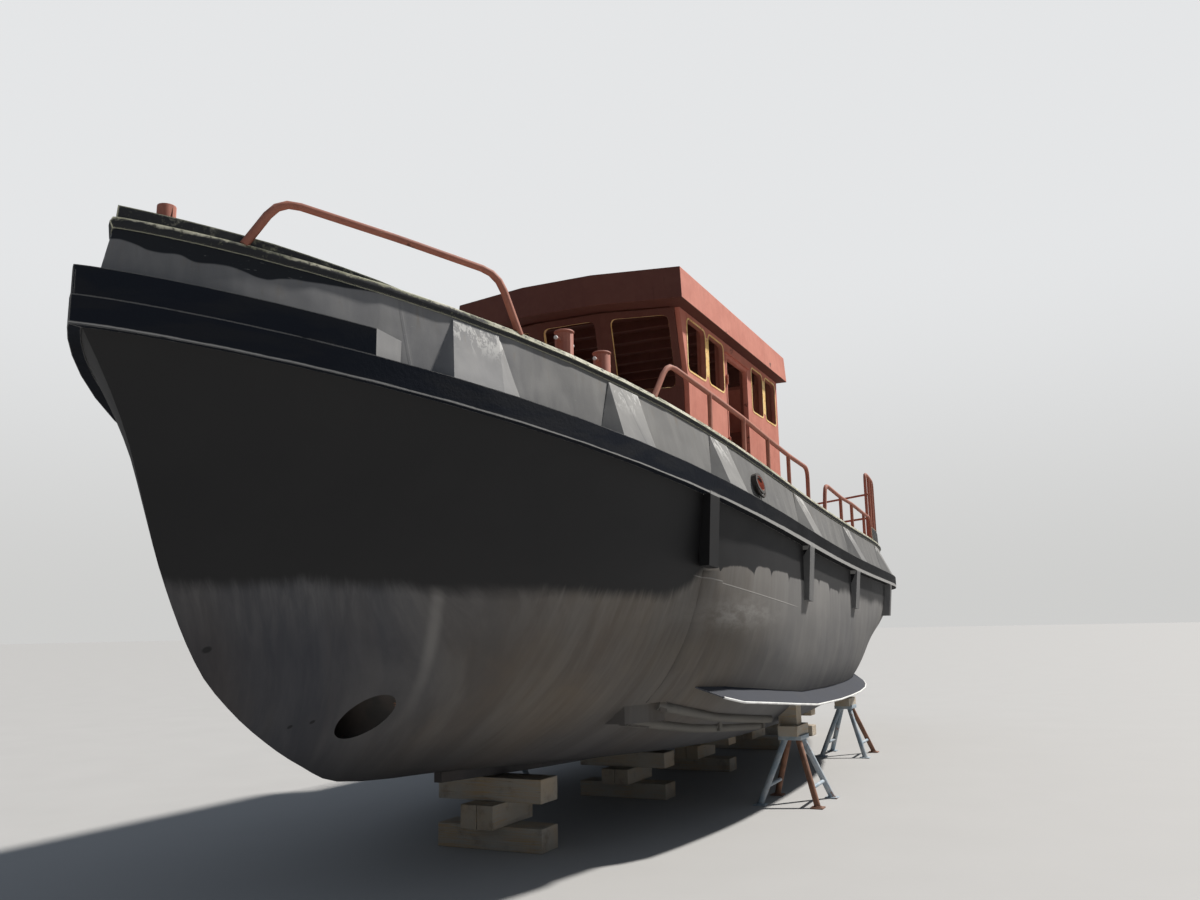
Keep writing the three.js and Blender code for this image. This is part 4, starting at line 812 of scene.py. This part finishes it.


# Bilge keels: dark plates whose dark is a painted shade of the hull's shadow on them, with a bright round bar
# along the outer edge as a painted highlight of the lit edge
def dressBilge():
    fin = {"root": [(3.24, 1.160), (2.82, 1.138), (2.40, 1.104), (1.70, 1.045), (1.00, 0.990), (0.0, 0.970),
        (-1.2, 0.972), (-2.4, 0.985), (-3.4, 1.010)], "reach": 0.190, "tip": 0.006, "slope": 37.0,
        "taper": 0.42, "taperPower": 0.6, "bar": 0.009}
    out, down = math.cos(math.radians(fin["slope"])), math.sin(math.radians(fin["slope"]))
    line = [fin["root"][0]]
    for (x0, z0), (x1, z1) in zip(fin["root"], fin["root"][1:]):
        line += [((x0 + x1) / 2, (z0 + z1) / 2), (x1, z1)]
    foreX, aftX = line[0][0], line[-1][0]
    for name, side in sides.items():
        dressNode("bilge_keel_" + name, ["bilge"], sharp=30)
        edge = []
        for x, z in line:
            share = min(1.0, min(foreX - x, x - aftX) / fin["taper"]) ** fin["taperPower"]
            width = fin["tip"] + (fin["reach"] - fin["tip"]) * share
            edge.append((x, side * (halfBreadth(x, z) + width * out), z - width * down))
        bm = bmesh.new()
        addTube(bm, edge[1:-1], fin["bar"], 12)
        softenEdges(bm, 50)
        placePiece("bilge_bar_" + name, bm, ["bare"])


# Keel coolers: the feed box and riser as packed, the two runs as round pipes with webs between
def dressCoolers():
    run = {"pipes": [[(3.56, 1.052), (3.08, 0.970), (2.60, 0.893), (1.90, 0.822), (1.33, 0.770)],
            [(3.70, 0.957), (3.24, 0.885), (2.78, 0.822), (2.29, 0.778), (1.70, 0.738), (1.33, 0.714)]],
        "radius": 0.038, "proud": 0.010, "steps": 5, "cutX": 3.46, "blackAbove": 0.92,
        "webs": [(2.34, 0.81), (1.37, 0.742)], "webHalf": (0.035, 0.05), "webIn": 0.04, "webOut": 0.02,
        "ease": 0.010}
    for place, side in sides.items():
        name = "keel_cooler_" + place
        bm = packedCopy(name)
        whole = bm.verts[:] + bm.edges[:] + bm.faces[:]
        bmesh.ops.bisect_plane(bm, geom=whole, plane_co=(run["cutX"], 0, 0), plane_no=(1, 0, 0),
            clear_inner=True)
        bmesh.ops.holes_fill(bm, edges=[e for e in bm.edges if e.is_boundary], sides=0)
        joinFlats(bm)
        bevelSharp(bm, run["ease"], 3, 30)
        bm.normal_update()
        for face in bm.faces:
            face.material_index = 1 if face.calc_center_median().z > run["blackAbove"] else 0
        for pipe in run["pipes"]:
            points = []
            for (x0, z0), (x1, z1) in zip(pipe, pipe[1:]):
                for t in (k / run["steps"] for k in range(run["steps"])):
                    points.append((x0 + (x1 - x0) * t, z0 + (z1 - z0) * t))
            points.append(pipe[-1])
            line = [(x, side * (halfBreadth(x, z) + run["proud"]), z) for x, z in points]
            addTube(bm, line, run["radius"], 18)
        halfX, halfZ = run["webHalf"]
        for x, z in run["webs"]:
            y = halfBreadth(x, z)
            addBox(bm, (x - halfX, side * (y - run["webIn"]), z - halfZ),
                (x + halfX, side * (y + run["webOut"]), z + halfZ))
        softenEdges(bm, 50)
        placePiece(name + "_pipes", bm, ["cooler", "hull"], stands=[name])


buildHull()
dressBilge()
dressCoolers()
print("hull dressed")


# Strakes, bulwarks and cap rails

fairlead = {"x": 2.58, "up": 0.322, "halfLength": 0.100, "halfHeight": 0.083, "wire": 0.010, "proud": 0.030,
    "reachX": 0.135, "reachZ": 0.12}


# The raised strip at the bow runs out flush with the rail at its aft end
def taperStrip(bm):
    strip = {"from": 6.02, "to": 6.7, "start": 5.92, "railTop": 0.606, "least": 0.012, "power": 0.45}
    for v in bm.verts:
        proud = v.co.z - sheerHeight(v.co.x) - strip["railTop"]
        if v.co.x > strip["start"] and proud > strip["least"]:
            share = min(1.0, max(0.0, (v.co.x - strip["from"]) / (strip["to"] - strip["from"])))
            v.co.z -= proud * (1 - share ** strip["power"])


def dressSides():
    mark = {"barsBelow": -0.05, "greyAft": 2.5, "wedgeFrom": 0.35, "wedgeTop": 0.54, "wedgeProud": 0.009,
        "wedgeFacing": 0.8, "boreFacing": 0.6, "rimProud": 0.006, "boxAft": 6.4, "lastX": 7.3}

    def chooseStrake(centre, normal):
        # upright fender bars: the foremost in the hull's paint, the others grey
        if centre.z - sheerHeight(centre.x) > mark["barsBelow"]:
            return 0
        return 2 if centre.x < mark["greyAft"] else 1

    def chooseBulwark(centre, normal):
        side = 1 if centre.y > 0 else -1
        above = centre.z - sheerHeight(centre.x)
        flat = edgePoint(side, min(centre.x, mark["lastX"]), bulwarkOut(above), above)
        proud = abs(centre.y) - abs(flat.y)
        outward = outwardOf(centre.x, side)[0]
        mouth = edgePoint(side, fairlead["x"], bulwarkOut(fairlead["up"]), fairlead["up"])
        if abs(centre.x - mouth.x) < fairlead["reachX"] and abs(centre.z - mouth.z) < fairlead["reachZ"]:
            # the fairlead: red inside its bore, dark on its rim
            if abs(normal.dot(outward)) < mark["boreFacing"] and normal.dot(centre - mouth) < 0:
                return 2
            return 3 if proud > mark["rimProud"] else 0
        onWedge = abs(centre.y) > mark["wedgeFrom"] and above < mark["wedgeTop"]
        facing = normal.dot(outward) > mark["wedgeFacing"]
        return 1 if onWedge and proud > mark["wedgeProud"] and facing else 0

    def chooseBox(centre, normal):
        return 1 if centre.x < mark["boxAft"] and abs(normal.x) < 0.35 and abs(normal.z) < 0.7 else 0

    for name in sides:
        dressNode("rubbing_strake_" + name, ["strake", "hull", "bulwark"], sharp=28,
            choose=chooseStrake)
        for place in ("fore_", "aft_"):
            dressNode("bulwark_" + place + name, ["bulwark", "wedge", "oxide", "tunnel"],
                sharp=12, choose=chooseBulwark)
            dressNode("cap_rail_" + place + name, ["cap"], sharp=55, reshape=taperStrip)
    dressNode("bow_fender_box", ["strake", "wedge"], sharp=28, choose=chooseBox)


# Knees inside the bulwark: a plate with a flat bar along its sloping edge
def addKnees():
    knee = {"first": -6.3, "last": 6.15, "step": 0.83, "gap": (3.95, 4.95), "foot": 0.17, "head": 0.05,
        "low": 0.034, "top": 0.50, "inside": 0.014, "footIn": 0.020, "plate": 0.008, "flange": 0.045,
        "bar": 0.006}
    for name, side in sides.items():
        bm = bmesh.new()
        x = knee["first"]
        while x < knee["last"]:
            if not knee["gap"][0] < x < knee["gap"][1]:
                outward, along = outwardOf(x, side)
                foot = edgePoint(side, x, 0, knee["low"]) - outward * knee["footIn"]
                head = edgePoint(side, x, bulwarkOut(knee["top"]), knee["top"]) - outward * knee["inside"]
                low, high = foot - outward * knee["foot"], head - outward * knee["head"]
                half, wide = along * knee["plate"] / 2, along * knee["flange"] / 2
                addPlate(bm, [corner - half for corner in (foot, low, high, head)], half * 2)
                addPlate(bm, [low - wide, low + wide, high + wide, high - wide], -outward * knee["bar"])
            x += knee["step"]
        bmesh.ops.recalc_face_normals(bm, faces=bm.faces)
        placePiece("bulwark_knees_" + name, bm, ["deck"])


# Rolled lip round each fairlead's oval mouth
def addFairleadRings():
    for name, side in sides.items():
        bm = bmesh.new()
        addCollar(bm, (0, 0, 0), (0, 0, 1), fairlead["halfLength"], fairlead["wire"], 32, 10)
        bmesh.ops.scale(bm, vec=(1, fairlead["halfHeight"] / fairlead["halfLength"], 1), verts=bm.verts)
        out = bulwarkOut(fairlead["up"]) + fairlead["proud"]
        centre = edgePoint(side, fairlead["x"], out, fairlead["up"])
        outward, along = outwardOf(centre.x, side)
        facing = (outward + Vector((0, 0, hullForm["bulwarkLean"] / hullForm["bulwarkTop"]))).normalized()
        place = Matrix((along, facing.cross(along).normalized(), facing)).transposed().to_4x4()
        place.translation = centre
        bmesh.ops.transform(bm, matrix=place, verts=bm.verts)
        bmesh.ops.recalc_face_normals(bm, faces=bm.faces)
        softenEdges(bm, 60)
        placePiece("fairlead_ring_" + name, bm, ["tunnel"])


dressSides()
addKnees()
addFairleadRings()
print("sides dressed")


# Deck, bitts, rails and hatches

def dressDeck():
    for place in ("bow", "fore", "house", "aft"):
        dressNode("deck_" + place, ["deck"], sharp=30)
    for node in ("fore_bitts_port", "fore_bitts_starboard", "tow_bitt", "bow_post"):
        dressNode(node, ["bitt"], bevel=0.004, sharp=40)
    for name in sides:
        for place in ("bow", "side", "quarter", "stern"):
            dressNode(place + "_rail_" + name, ["rail"], sharp=75)


# Weld collars at the foot and head of the bitts' posts and where their pins enter, and bright pin ends
def addBittDetails():
    bitts = {"posts": (4.74, 4.15), "across": 1.2, "footX": 4.48, "footUp": 0.072, "head": 3.543,
        "pinHeight": 3.48, "pinEntry": 0.06014, "pinFrom": 0.113, "pinTo": 0.126, "pinRadius": 0.0135,
        "footWeld": (0.066, 0.009), "headWeld": (0.061, 0.008), "pinWeld": (0.013, 0.005), "pinEase": 0.002}
    foot = sheerHeight(bitts["footX"]) + bitts["footUp"]
    pins = [(x, side * bitts["across"], end)
        for side in sides.values() for x in bitts["posts"] for end in (-1, 1)]
    bm = bmesh.new()
    for x, y, end in pins:
        if end == -1:
            addCollar(bm, (x, y, foot), (0, 0, 1), *bitts["footWeld"])
            addCollar(bm, (x, y, bitts["head"]), (0, 0, 1), *bitts["headWeld"])
        entry = (x + end * bitts["pinEntry"], y, bitts["pinHeight"])
        addCollar(bm, entry, (1, 0, 0), *bitts["pinWeld"], 12, 6)
    softenEdges(bm, 60)
    placePiece("bitt_welds", bm, ["bitt"])
    bm = bmesh.new()
    for x, y, end in pins:
        start, stop = ((x + end * bitts[key], y, bitts["pinHeight"]) for key in ("pinFrom", "pinTo"))
        addRod(bm, start, stop, bitts["pinRadius"], 14)
    bevelSharp(bm, bitts["pinEase"])
    softenEdges(bm, 50)
    placePiece("bitt_pin_ends", bm, ["bare"])


# Each hatch lid gets a bar handle with welded feet and two flat strips
def dressHatches():
    handle = {"in": 0.10, "half": 0.09, "sunk": 0.004, "height": 0.045, "rod": 0.007,
        "weld": (0.009, 0.004), "weldUp": 0.001}
    strip = {"at": 0.3, "in": 0.16, "half": 0.02, "sunk": 0.002, "height": 0.006, "ease": 0.0015}
    for body in ("fore_hatch", "engine_hatch"):
        dressNode(body + "_coaming", ["oxide"], bevel=0.003, sharp=40)
        dressNode(body + "_lid", ["oxide"], body, bevel=0.004, sharp=40)
        low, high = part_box(body + "_lid")
        x, top, half = low.x + handle["in"], high.z, handle["half"]
        foot, head = top - handle["sunk"], top + handle["height"]
        points = [(x, -half, foot), (x, -half, head), (x, half, head), (x, half, foot)]
        bm = bmesh.new()
        for start, end in zip(points, points[1:]):
            addRod(bm, start, end, handle["rod"], 12)
        for y in (-half, half):
            addCollar(bm, (x, y, top + handle["weldUp"]), (0, 0, 1), *handle["weld"], 12, 6)
        middle, reach = (low.y + high.y) / 2, (high.y - low.y) * strip["at"]
        for y in (middle - reach, middle + reach):
            addBox(bm, (low.x + strip["in"], y - strip["half"], top - strip["sunk"]),
                (high.x - strip["in"], y + strip["half"], top + strip["height"]))
        bevelSharp(bm, strip["ease"])
        softenEdges(bm, 50)
        placePiece(body + "_handle", bm, ["oxide"], body)


dressDeck()
addBittDetails()
dressHatches()
print("deck dressed")


# Wheelhouse

house = {"halfWidth": 1.07, "aftX": -1.16, "wall": 0.05, "sill": 3.78, "windowTop": 4.45}
# Side openings: fore X and aft X of each, then what they share
sideWindows = {"spans": [(1.96, 1.46), (1.36, 0.90), (-0.10, -0.52), (-0.63, -1.06)], "low": 3.95,
    "high": 4.44, "corner": 0.05, "slack": 0.012}
doorway = {"fore": 0.8, "aft": 0.09, "top": 4.35}
trimEase = 0.0015  # bevel on the house's small bars and plates


# A flat ring with rounded corners, set in place by a matrix
def addFrameRing(bm, width, height, radius, rim, thick, place):
    made = bmesh.ops.create_grid(bm, x_segments=1, y_segments=1, size=0.5)["verts"]
    bmesh.ops.scale(bm, vec=(width + 2 * rim, height + 2 * rim, 1), verts=made)
    rounded = bmesh.ops.bevel(bm, geom=made, offset=radius + rim, segments=5, profile=0.5, affect="VERTICES",
        material=-1, clamp_overlap=True)
    face = max({f for v in rounded["verts"] for f in v.link_faces}, key=lambda f: f.calc_area())
    ring = bmesh.ops.inset_region(bm, faces=[face], thickness=rim, use_even_offset=True,
        use_boundary=True)["faces"]
    bmesh.ops.delete(bm, geom=[face], context="FACES_ONLY")
    pushed = bmesh.ops.extrude_face_region(bm, geom=ring)["geom"]
    top = [v for v in pushed if isinstance(v, bmesh.types.BMVert)]
    bmesh.ops.translate(bm, vec=(0, 0, thick), verts=top)
    whole = list({v for f in ring if f.is_valid for v in f.verts} | set(top))
    bmesh.ops.transform(bm, matrix=place, verts=whole)


def dressHouse():
    # how far the cream rims, the room's paint and the front's brown reach
    reach = {"frontX": 1.9, "frontHalf": 0.98, "frontSlack": 0.02, "aftLow": 3.93, "aftHigh": 4.46,
        "aftHalf": 0.8, "fasciaLow": 4.46, "ceiling": 4.775, "ceilingHalf": 1.03}

    def chooseSide(centre, normal):
        # the room's darker paint, a painted shade, inside and in the windows' cut edges
        slack = sideWindows["slack"]
        level = sideWindows["low"] - slack < centre.z < sideWindows["high"] + slack
        cut = level and any(aft - slack < centre.x < fore + slack for fore, aft in sideWindows["spans"])
        inside = normal.y * (1 if centre.y > 0 else -1) < -0.5
        return 1 if inside or cut and abs(normal.y) < 0.5 and normal.z < 0.3 else 0

    def chooseFront(centre, normal):
        # inside faces in the room's darker paint and the outer front in the front's darker brown, both
        # painted shade; the windows' cut edges in cream
        if normal.x < -0.4:
            return 2
        slack = reach["frontSlack"]
        level = house["sill"] - slack < centre.z < house["windowTop"] + slack
        onFront = centre.x > reach["frontX"] and abs(centre.y) < reach["frontHalf"]
        return 1 if level and onFront and abs(normal.x) < 0.75 else 0

    def chooseAft(centre, normal):
        # the aft windows' cut edges in cream, the wall's inner face in the room's darker paint as painted
        # shade
        level = reach["aftLow"] < centre.z < reach["aftHigh"]
        if level and abs(normal.x) < 0.5 and abs(centre.y) < reach["aftHalf"]:
            return 1
        return 2 if normal.x > 0.5 else 0

    def chooseRoof(centre, normal):
        # the fascia's front and the plate's underside take the front's darker brown, the ceiling the room's
        # darker paint, both painted shade
        if normal.x > 0.6 or normal.z < -0.3 and centre.z > reach["fasciaLow"]:
            return 2
        inside = normal.z < -0.3 or abs(centre.y) < reach["ceilingHalf"]
        return 1 if centre.z < reach["ceiling"] and inside else 0

    for name in sides:
        dressNode("wheelhouse_" + name, ["oxide", "room"], bevel=0.003, sharp=38,
            choose=chooseSide)
    for place, paintKeys, bevel, sharp, choose in (
            ("front", ["front", "rim", "room"], 0.003, 38, chooseFront),
            ("aft", ["oxide", "rim", "room"], 0.003, 38, chooseAft),
            ("roof", ["oxide", "room", "front"], 0.005, 12, chooseRoof)):
        dressNode("wheelhouse_" + place, paintKeys, bevel=bevel, sharp=sharp, choose=choose)


# Flat frames round the side windows, outside, and the cream post between the windows of a pair
def addWindowFrames():
    trim = {"rim": 0.017, "thick": 0.004, "post": 0.003, "sunk": 0.0005}
    low, high, corner = (sideWindows[key] for key in ("low", "high", "corner"))
    spans = sideWindows["spans"]
    bm = bmesh.new()
    for side in sides.values():
        wall = side * (house["halfWidth"] - trim["sunk"])
        for fore, aft in spans:
            place = Matrix(((-side, 0, 0), (0, 0, 1), (0, side, 0))).transposed().to_4x4()
            place.translation = ((fore + aft) / 2, wall, (low + high) / 2)
            addFrameRing(bm, fore - aft, high - low, corner, trim["rim"], trim["thick"], place)
        for ahead, astern in (spans[:2], spans[2:]):
            addBox(bm, (astern[0], wall, low + corner), (ahead[1], wall + side * trim["post"], high - corner))
    bmesh.ops.recalc_face_normals(bm, faces=bm.faces)
    placePiece("window_frames", bm, ["rim"])


# Stiffeners inside the walls, in the room's darker paint that stands in for the shade inside
def addStiffeners():
    bar = {"depth": 0.05, "thick": 0.008, "uprights": [1.41, 0.86, 0.02, -0.575, -1.09], "foot": 0.04,
        "head": 4.49, "rails": ((1.90, 0.87), (0.01, -1.08)), "railZ": 3.90, "aftYs": (-0.8, 0.0, 0.8),
        "aftFoot": 2.2}
    half, aftWall = bar["thick"] / 2, house["aftX"] + house["wall"]
    bm = bmesh.new()
    for side in sides.values():
        wall = side * (house["halfWidth"] - house["wall"])
        inner = wall - side * bar["depth"]
        for x in bar["uprights"]:
            addBox(bm, (x - half, wall, sheerHeight(x) + bar["foot"]), (x + half, inner, bar["head"]))
        for fore, aft in bar["rails"]:
            addBox(bm, (aft, wall, bar["railZ"]), (fore, inner, bar["railZ"] + bar["thick"]))
    for y in bar["aftYs"]:
        addBox(bm, (aftWall, y - half, bar["aftFoot"]), (aftWall + bar["depth"], y + half, bar["head"]))
    bevelSharp(bm, trimEase, 1)
    bmesh.ops.recalc_face_normals(bm, faces=bm.faces)
    placePiece("wheelhouse_stiffeners", bm, ["room"])


# A primed plate behind the port aft window
def addWindowBlank():
    blank = {"y": 0.48, "z": 4.195, "halfWidth": 0.30, "halfHeight": 0.265, "thick": 0.006, "sunk": 0.0005}
    wall = house["aftX"] + house["wall"]
    bm = bmesh.new()
    addBox(bm, (wall - blank["sunk"], blank["y"] - blank["halfWidth"], blank["z"] - blank["halfHeight"]),
        (wall + blank["thick"], blank["y"] + blank["halfWidth"], blank["z"] + blank["halfHeight"]))
    bevelSharp(bm, trimEase, 1)
    placePiece("aft_window_blank", bm, ["oxide"])


# Round each doorway: a drip strip above, a flat bar up each side, and hinge pins
def addDoorSurrounds():
    trim = {"dripReach": 0.028, "dripUp": (0.035, 0.041), "dripPast": 0.06, "bar": 0.012, "barProud": 0.006,
        "barFoot": 0.16, "pinHeights": (2.75, 3.45, 4.1), "pinX": 0.028, "pinOut": 0.014, "pinHalf": 0.05,
        "pin": 0.012}
    fore, aft, top = doorway["fore"], doorway["aft"], doorway["top"]
    bm = bmesh.new()
    for side in sides.values():
        y = side * house["halfWidth"]
        low, high = (top + up for up in trim["dripUp"])
        addBox(bm, (aft - trim["dripPast"], y, low),
            (fore + trim["dripPast"], y + side * trim["dripReach"], high))
        for x in (aft - trim["bar"], fore + trim["bar"]):
            addBox(bm, (x - trim["bar"], y, sheerHeight(x) + trim["barFoot"]),
                (x + trim["bar"], y + side * trim["barProud"], top + trim["bar"]))
        for z in trim["pinHeights"]:
            x, out = fore + trim["pinX"], y + side * trim["pinOut"]
            addRod(bm, (x, out, z - trim["pinHalf"]), (x, out, z + trim["pinHalf"]), trim["pin"], 12)
    bevelSharp(bm, trimEase, 1)
    softenEdges(bm, 40)
    bmesh.ops.recalc_face_normals(bm, faces=bm.faces)
    placePiece("door_surrounds", bm, ["oxide"])


dressHouse()
addWindowFrames()
addStiffeners()
addWindowBlank()
addDoorSurrounds()
print("wheelhouse dressed")


# Stern gear: the rudder gets round bars across its blade

def dressStern():
    bars = {"heights": (0.72, 0.95, 1.18), "aft": (-6.5, 0.019), "fore": (-6.0, 0.043), "radius": 0.010,
        "ease": 0.002}
    dressNode("rudder", ["rudder"], "rudder", bevel=0.004, sharp=40)
    dressNode("propeller", ["bronze"], "screw", sharp=35)
    dressNode("propeller_shaft", ["shaft"], "screw", sharp=40)
    bm = bmesh.new()
    for z in bars["heights"]:
        for side in (1, -1):
            start, end = ((x, side * y, z) for x, y in (bars["aft"], bars["fore"]))
            addRod(bm, start, end, bars["radius"], 10)
    bevelSharp(bm, bars["ease"], 1)
    softenEdges(bm, 50)
    placePiece("rudder_bars", bm, ["rudder"], "rudder")


dressStern()
print("stern gear dressed")


# Cradle: sawn baulks in place of each keel block, timber pads, and pipe trestles

def addBaulk(bm, low, high, lean):
    baulk = {"ease": (0.004, 0.009), "slide": 9, "endSlide": 0.01, "facing": 0.7}
    uv = bm.loops.layers.uv.verify()
    made = bmesh.ops.create_cube(bm, size=1.0)["verts"]
    size = Vector([b - a for a, b in zip(low, high)])
    bmesh.ops.scale(bm, vec=size, verts=made)
    edges = list({e for v in made for e in v.link_edges})
    cut = bmesh.ops.bevel(bm, geom=edges, offset=chance.uniform(*baulk["ease"]), segments=2, profile=0.5,
        affect="EDGES", material=-1, clamp_overlap=True)
    whole = set(cut["verts"]) | {v for f in cut["faces"] for v in f.verts}
    longX = size.x >= size.y
    slide = chance.uniform(0, baulk["slide"])  # where along the grain this baulk was sawn
    for face in {f for v in whole for f in v.link_faces}:
        endFace = abs(face.normal.x if longX else face.normal.y) > baulk["facing"]
        face.material_index = 1 if endFace else 0
        for loop in face.loops:
            co = loop.vert.co
            run, across = (co.x, co.y) if longX else (co.y, co.x)
            endUv = (across + slide * baulk["endSlide"], co.z)
            loop[uv].uv = endUv if endFace else (run + slide, co.z + across)
    place = Matrix.Rotation(lean, 4, "Z")
    place.translation = (Vector(low) + Vector(high)) / 2
    bmesh.ops.transform(bm, matrix=place, verts=list(whole))


def stackBlocks():
    stack = {"halfX": 0.128, "halfY": 0.449, "gap": 0.001, "crossX": 0.299, "crossY": 0.0705,
        "crossHalf": 0.068, "lowLean": 0.006, "highLean": -0.008, "lean": 0.004, "headGap": 0.0005}
    halfX, halfY, gap = stack["halfX"], stack["halfY"], stack["gap"]
    for number in range(1, 6):
        name = "keel_block_" + str(number)
        low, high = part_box(name)
        x, layer = (low.x + high.x) / 2, (high.z - low.z) / 3
        bm = bmesh.new()
        addBaulk(bm, (x - halfX, -halfY, 0.0), (x + halfX, halfY, layer - gap), stack["lowLean"])
        for y in (-stack["crossY"], stack["crossY"]):
            lean = chance.uniform(-stack["lean"], stack["lean"])
            addBaulk(bm, (x - stack["crossX"], y - stack["crossHalf"], layer + gap),
                (x + stack["crossX"], y + stack["crossHalf"], 2 * layer - gap), lean)
        addBaulk(bm, (x - halfX, -halfY, 2 * layer + gap), (x + halfX, halfY, high.z - stack["headGap"]),
            stack["highLean"])
        placePiece(name + "_baulks", bm, ["timber", "timberEnd"], stands=[name])


def dressPads():
    pad = {"upperFrom": 0.69, "facing": 0.7, "ease": 0.004}  # from that height up the pad lies athwart
    for node in ("trestle_pad_" + place + name for place in ("fore_", "aft_") for name in sides):
        bm = packedCopy(node)
        joinFlats(bm)
        bevelSharp(bm, pad["ease"])
        uv = bm.loops.layers.uv.verify()
        for face in bm.faces:
            upper = face.calc_center_median().z > pad["upperFrom"]
            face.material_index = 1 if abs(face.normal.y if upper else face.normal.x) > pad["facing"] else 0
            for loop in face.loops:
                co = loop.vert.co
                if abs(face.normal.x) > pad["facing"]:
                    loop[uv].uv = (co.y, co.z)
                else:
                    loop[uv].uv = (co.x, co.z + co.y) if co.z < pad["upperFrom"] else (co.y, co.z + co.x)
        placePiece(node + "_timber", bm, ["timber", "timberEnd"], stands=[node])


def buildTrestles():
    stand = {"spreadX": 0.29, "spreadY": 0.261, "headX": 0.07, "headY": 0.06, "legRadius": 0.028,
        "legFoot": 0.012, "legHead": 0.57, "brace": 0.78, "braceZ": 0.16, "braceRadius": 0.017,
        "foot": 0.058, "footThick": 0.011, "weldZ": 0.016, "weld": (0.031, 0.006),
        "plateHalf": (0.148, 0.108), "plateZ": (0.561, 0.6), "ease": 0.0025}
    for place, name in ((place, name) for place in ("fore", "aft") for name in sides):
        node = "trestle_" + place + "_" + name
        low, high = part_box(node)
        x, y = (low.x + high.x) / 2, (low.y + high.y) / 2
        bm = bmesh.new()
        for index, (a, b) in enumerate([(1, 1), (1, -1), (-1, 1), (-1, -1)]):
            before = set(bm.faces)
            footX, footY, foot = x + a * stand["spreadX"], y + b * stand["spreadY"], stand["foot"]
            head = (x + a * stand["headX"], y + b * stand["headY"], stand["legHead"])
            addRod(bm, (footX, footY, stand["legFoot"]), head, stand["legRadius"], 20)
            addBox(bm, (footX - foot, footY - foot, 0.0), (footX + foot, footY + foot, stand["footThick"]))
            addCollar(bm, (footX, footY, stand["weldZ"]), (0, 0, 1), *stand["weld"], 20, 6)
            for face in set(bm.faces) - before:
                face.material_index = 1 if (index + (place == "aft")) % 3 == 0 else 0
        reachX, offY = stand["spreadX"] * stand["brace"], stand["spreadY"] * stand["brace"]
        for b in (1, -1):
            start, end = ((x + a * reachX, y + b * offY, stand["braceZ"]) for a in (-1, 1))
            addRod(bm, start, end, stand["braceRadius"], 14)
        halfX, halfY = stand["plateHalf"]
        foot, head = stand["plateZ"]
        addBox(bm, (x - halfX, y - halfY, foot), (x + halfX, y + halfY, head))
        bevelSharp(bm, stand["ease"], 2, 50)
        softenEdges(bm, 50)
        placePiece(node + "_pipes", bm, ["trestleBlue", "trestleRust"], stands=[node])


stackBlocks()
dressPads()
buildTrestles()
print("cradle built")


# Floor, light and camera

def setStage():
    stage = {"floor": 400.0, "floorDark": (0.360, 0.356, 0.348), "floorPale": (0.392, 0.388, 0.380),
        "sunFrom": (-0.54, 0.38, 0.75), "sunPower": 5.8, "sunSpread": 3.0, "sunColor": (1.0, 0.965, 0.92),
        "zenith": (0.26, 0.30, 0.36), "horizon": (0.085, 0.092, 0.10),
        "backdropLow": (0.62, 0.62, 0.61), "backdropHigh": (0.78, 0.79, 0.80)}
    bm = bmesh.new()
    bmesh.ops.create_grid(bm, x_segments=1, y_segments=1, size=stage["floor"])
    floor = newObject("studio_floor", meshFrom(bm, "studio_floor"))
    graph = startMaterial("studioFloor", stage)
    speck = graph.noise(graph.place, 1.2, 4.0)
    color = graph.mix(speck, "floorDark", "floorPale")
    floor.data.materials.append(finishMaterial(graph, color, speck * 0.1 + 0.8))
    sun = bpy.data.lights.new("studio_key", "SUN")
    sun.energy, sun.angle, sun.color = stage["sunPower"], math.radians(stage["sunSpread"]), stage["sunColor"]
    key = newObject("studio_key", sun)
    key.rotation_mode = "QUATERNION"
    key.rotation_quaternion = Vector(stage["sunFrom"]).to_track_quat("Z", "Y")
    # soft light from above that fades to the horizon, with a pale backdrop behind the object
    world = bpy.data.worlds.new("studio_sky")
    world.use_nodes = True
    world.node_tree.nodes.clear()
    graph = Graph(world.node_tree, stage)
    height = graph.parts(graph.wire("TexCoord", output="Generated"))[2]
    light = graph.mix(graph.rise(height, -0.05, 0.9), "horizon", "zenith")
    backdrop = graph.mix(graph.rise(height, 0.0, 0.35), "backdropLow", "backdropHigh")
    seen = graph.wire("LightPath", output="Is Camera Ray")
    graph.put("OutputWorld", {0: graph.wire("Background", {"Color": graph.mix(seen, light, backdrop)})})
    bpy.context.scene.world = world
    bpy.context.scene.view_settings.view_transform = "Standard"


# The camera: standing height ahead of the port bow, looking aft and a little up
def setCamera():
    view = {"place": (10.45, 4.11, 1.60), "heading": 25.0, "pitch": 10.15, "roll": 1.1, "lens": 30.0,
        "sensor": 36.0, "near": 0.05, "far": 500.0}
    heading, pitch, roll = (math.radians(view[key]) for key in ("heading", "pitch", "roll"))
    level = Vector((-math.cos(heading), -math.sin(heading), 0))
    right = Vector((-math.sin(heading), math.cos(heading), 0))
    forward = level * math.cos(pitch) + Vector((0, 0, math.sin(pitch)))
    up = Vector((0, 0, math.cos(pitch))) - level * math.sin(pitch)
    rolledRight = right * math.cos(roll) - up * math.sin(roll)
    rolledUp = up * math.cos(roll) + right * math.sin(roll)
    lens = bpy.data.cameras.new("photo_view")
    lens.lens, lens.sensor_width, lens.sensor_fit = view["lens"], view["sensor"], "HORIZONTAL"
    lens.clip_start, lens.clip_end = view["near"], view["far"]
    camera = newObject("photo_view", lens)
    camera.matrix_world = Matrix((rolledRight, rolledUp, -forward)).transposed().to_4x4()
    camera.location = Vector(view["place"])
    bpy.context.scene.camera = camera


setStage()
setCamera()
bpy.context.view_layer.update()
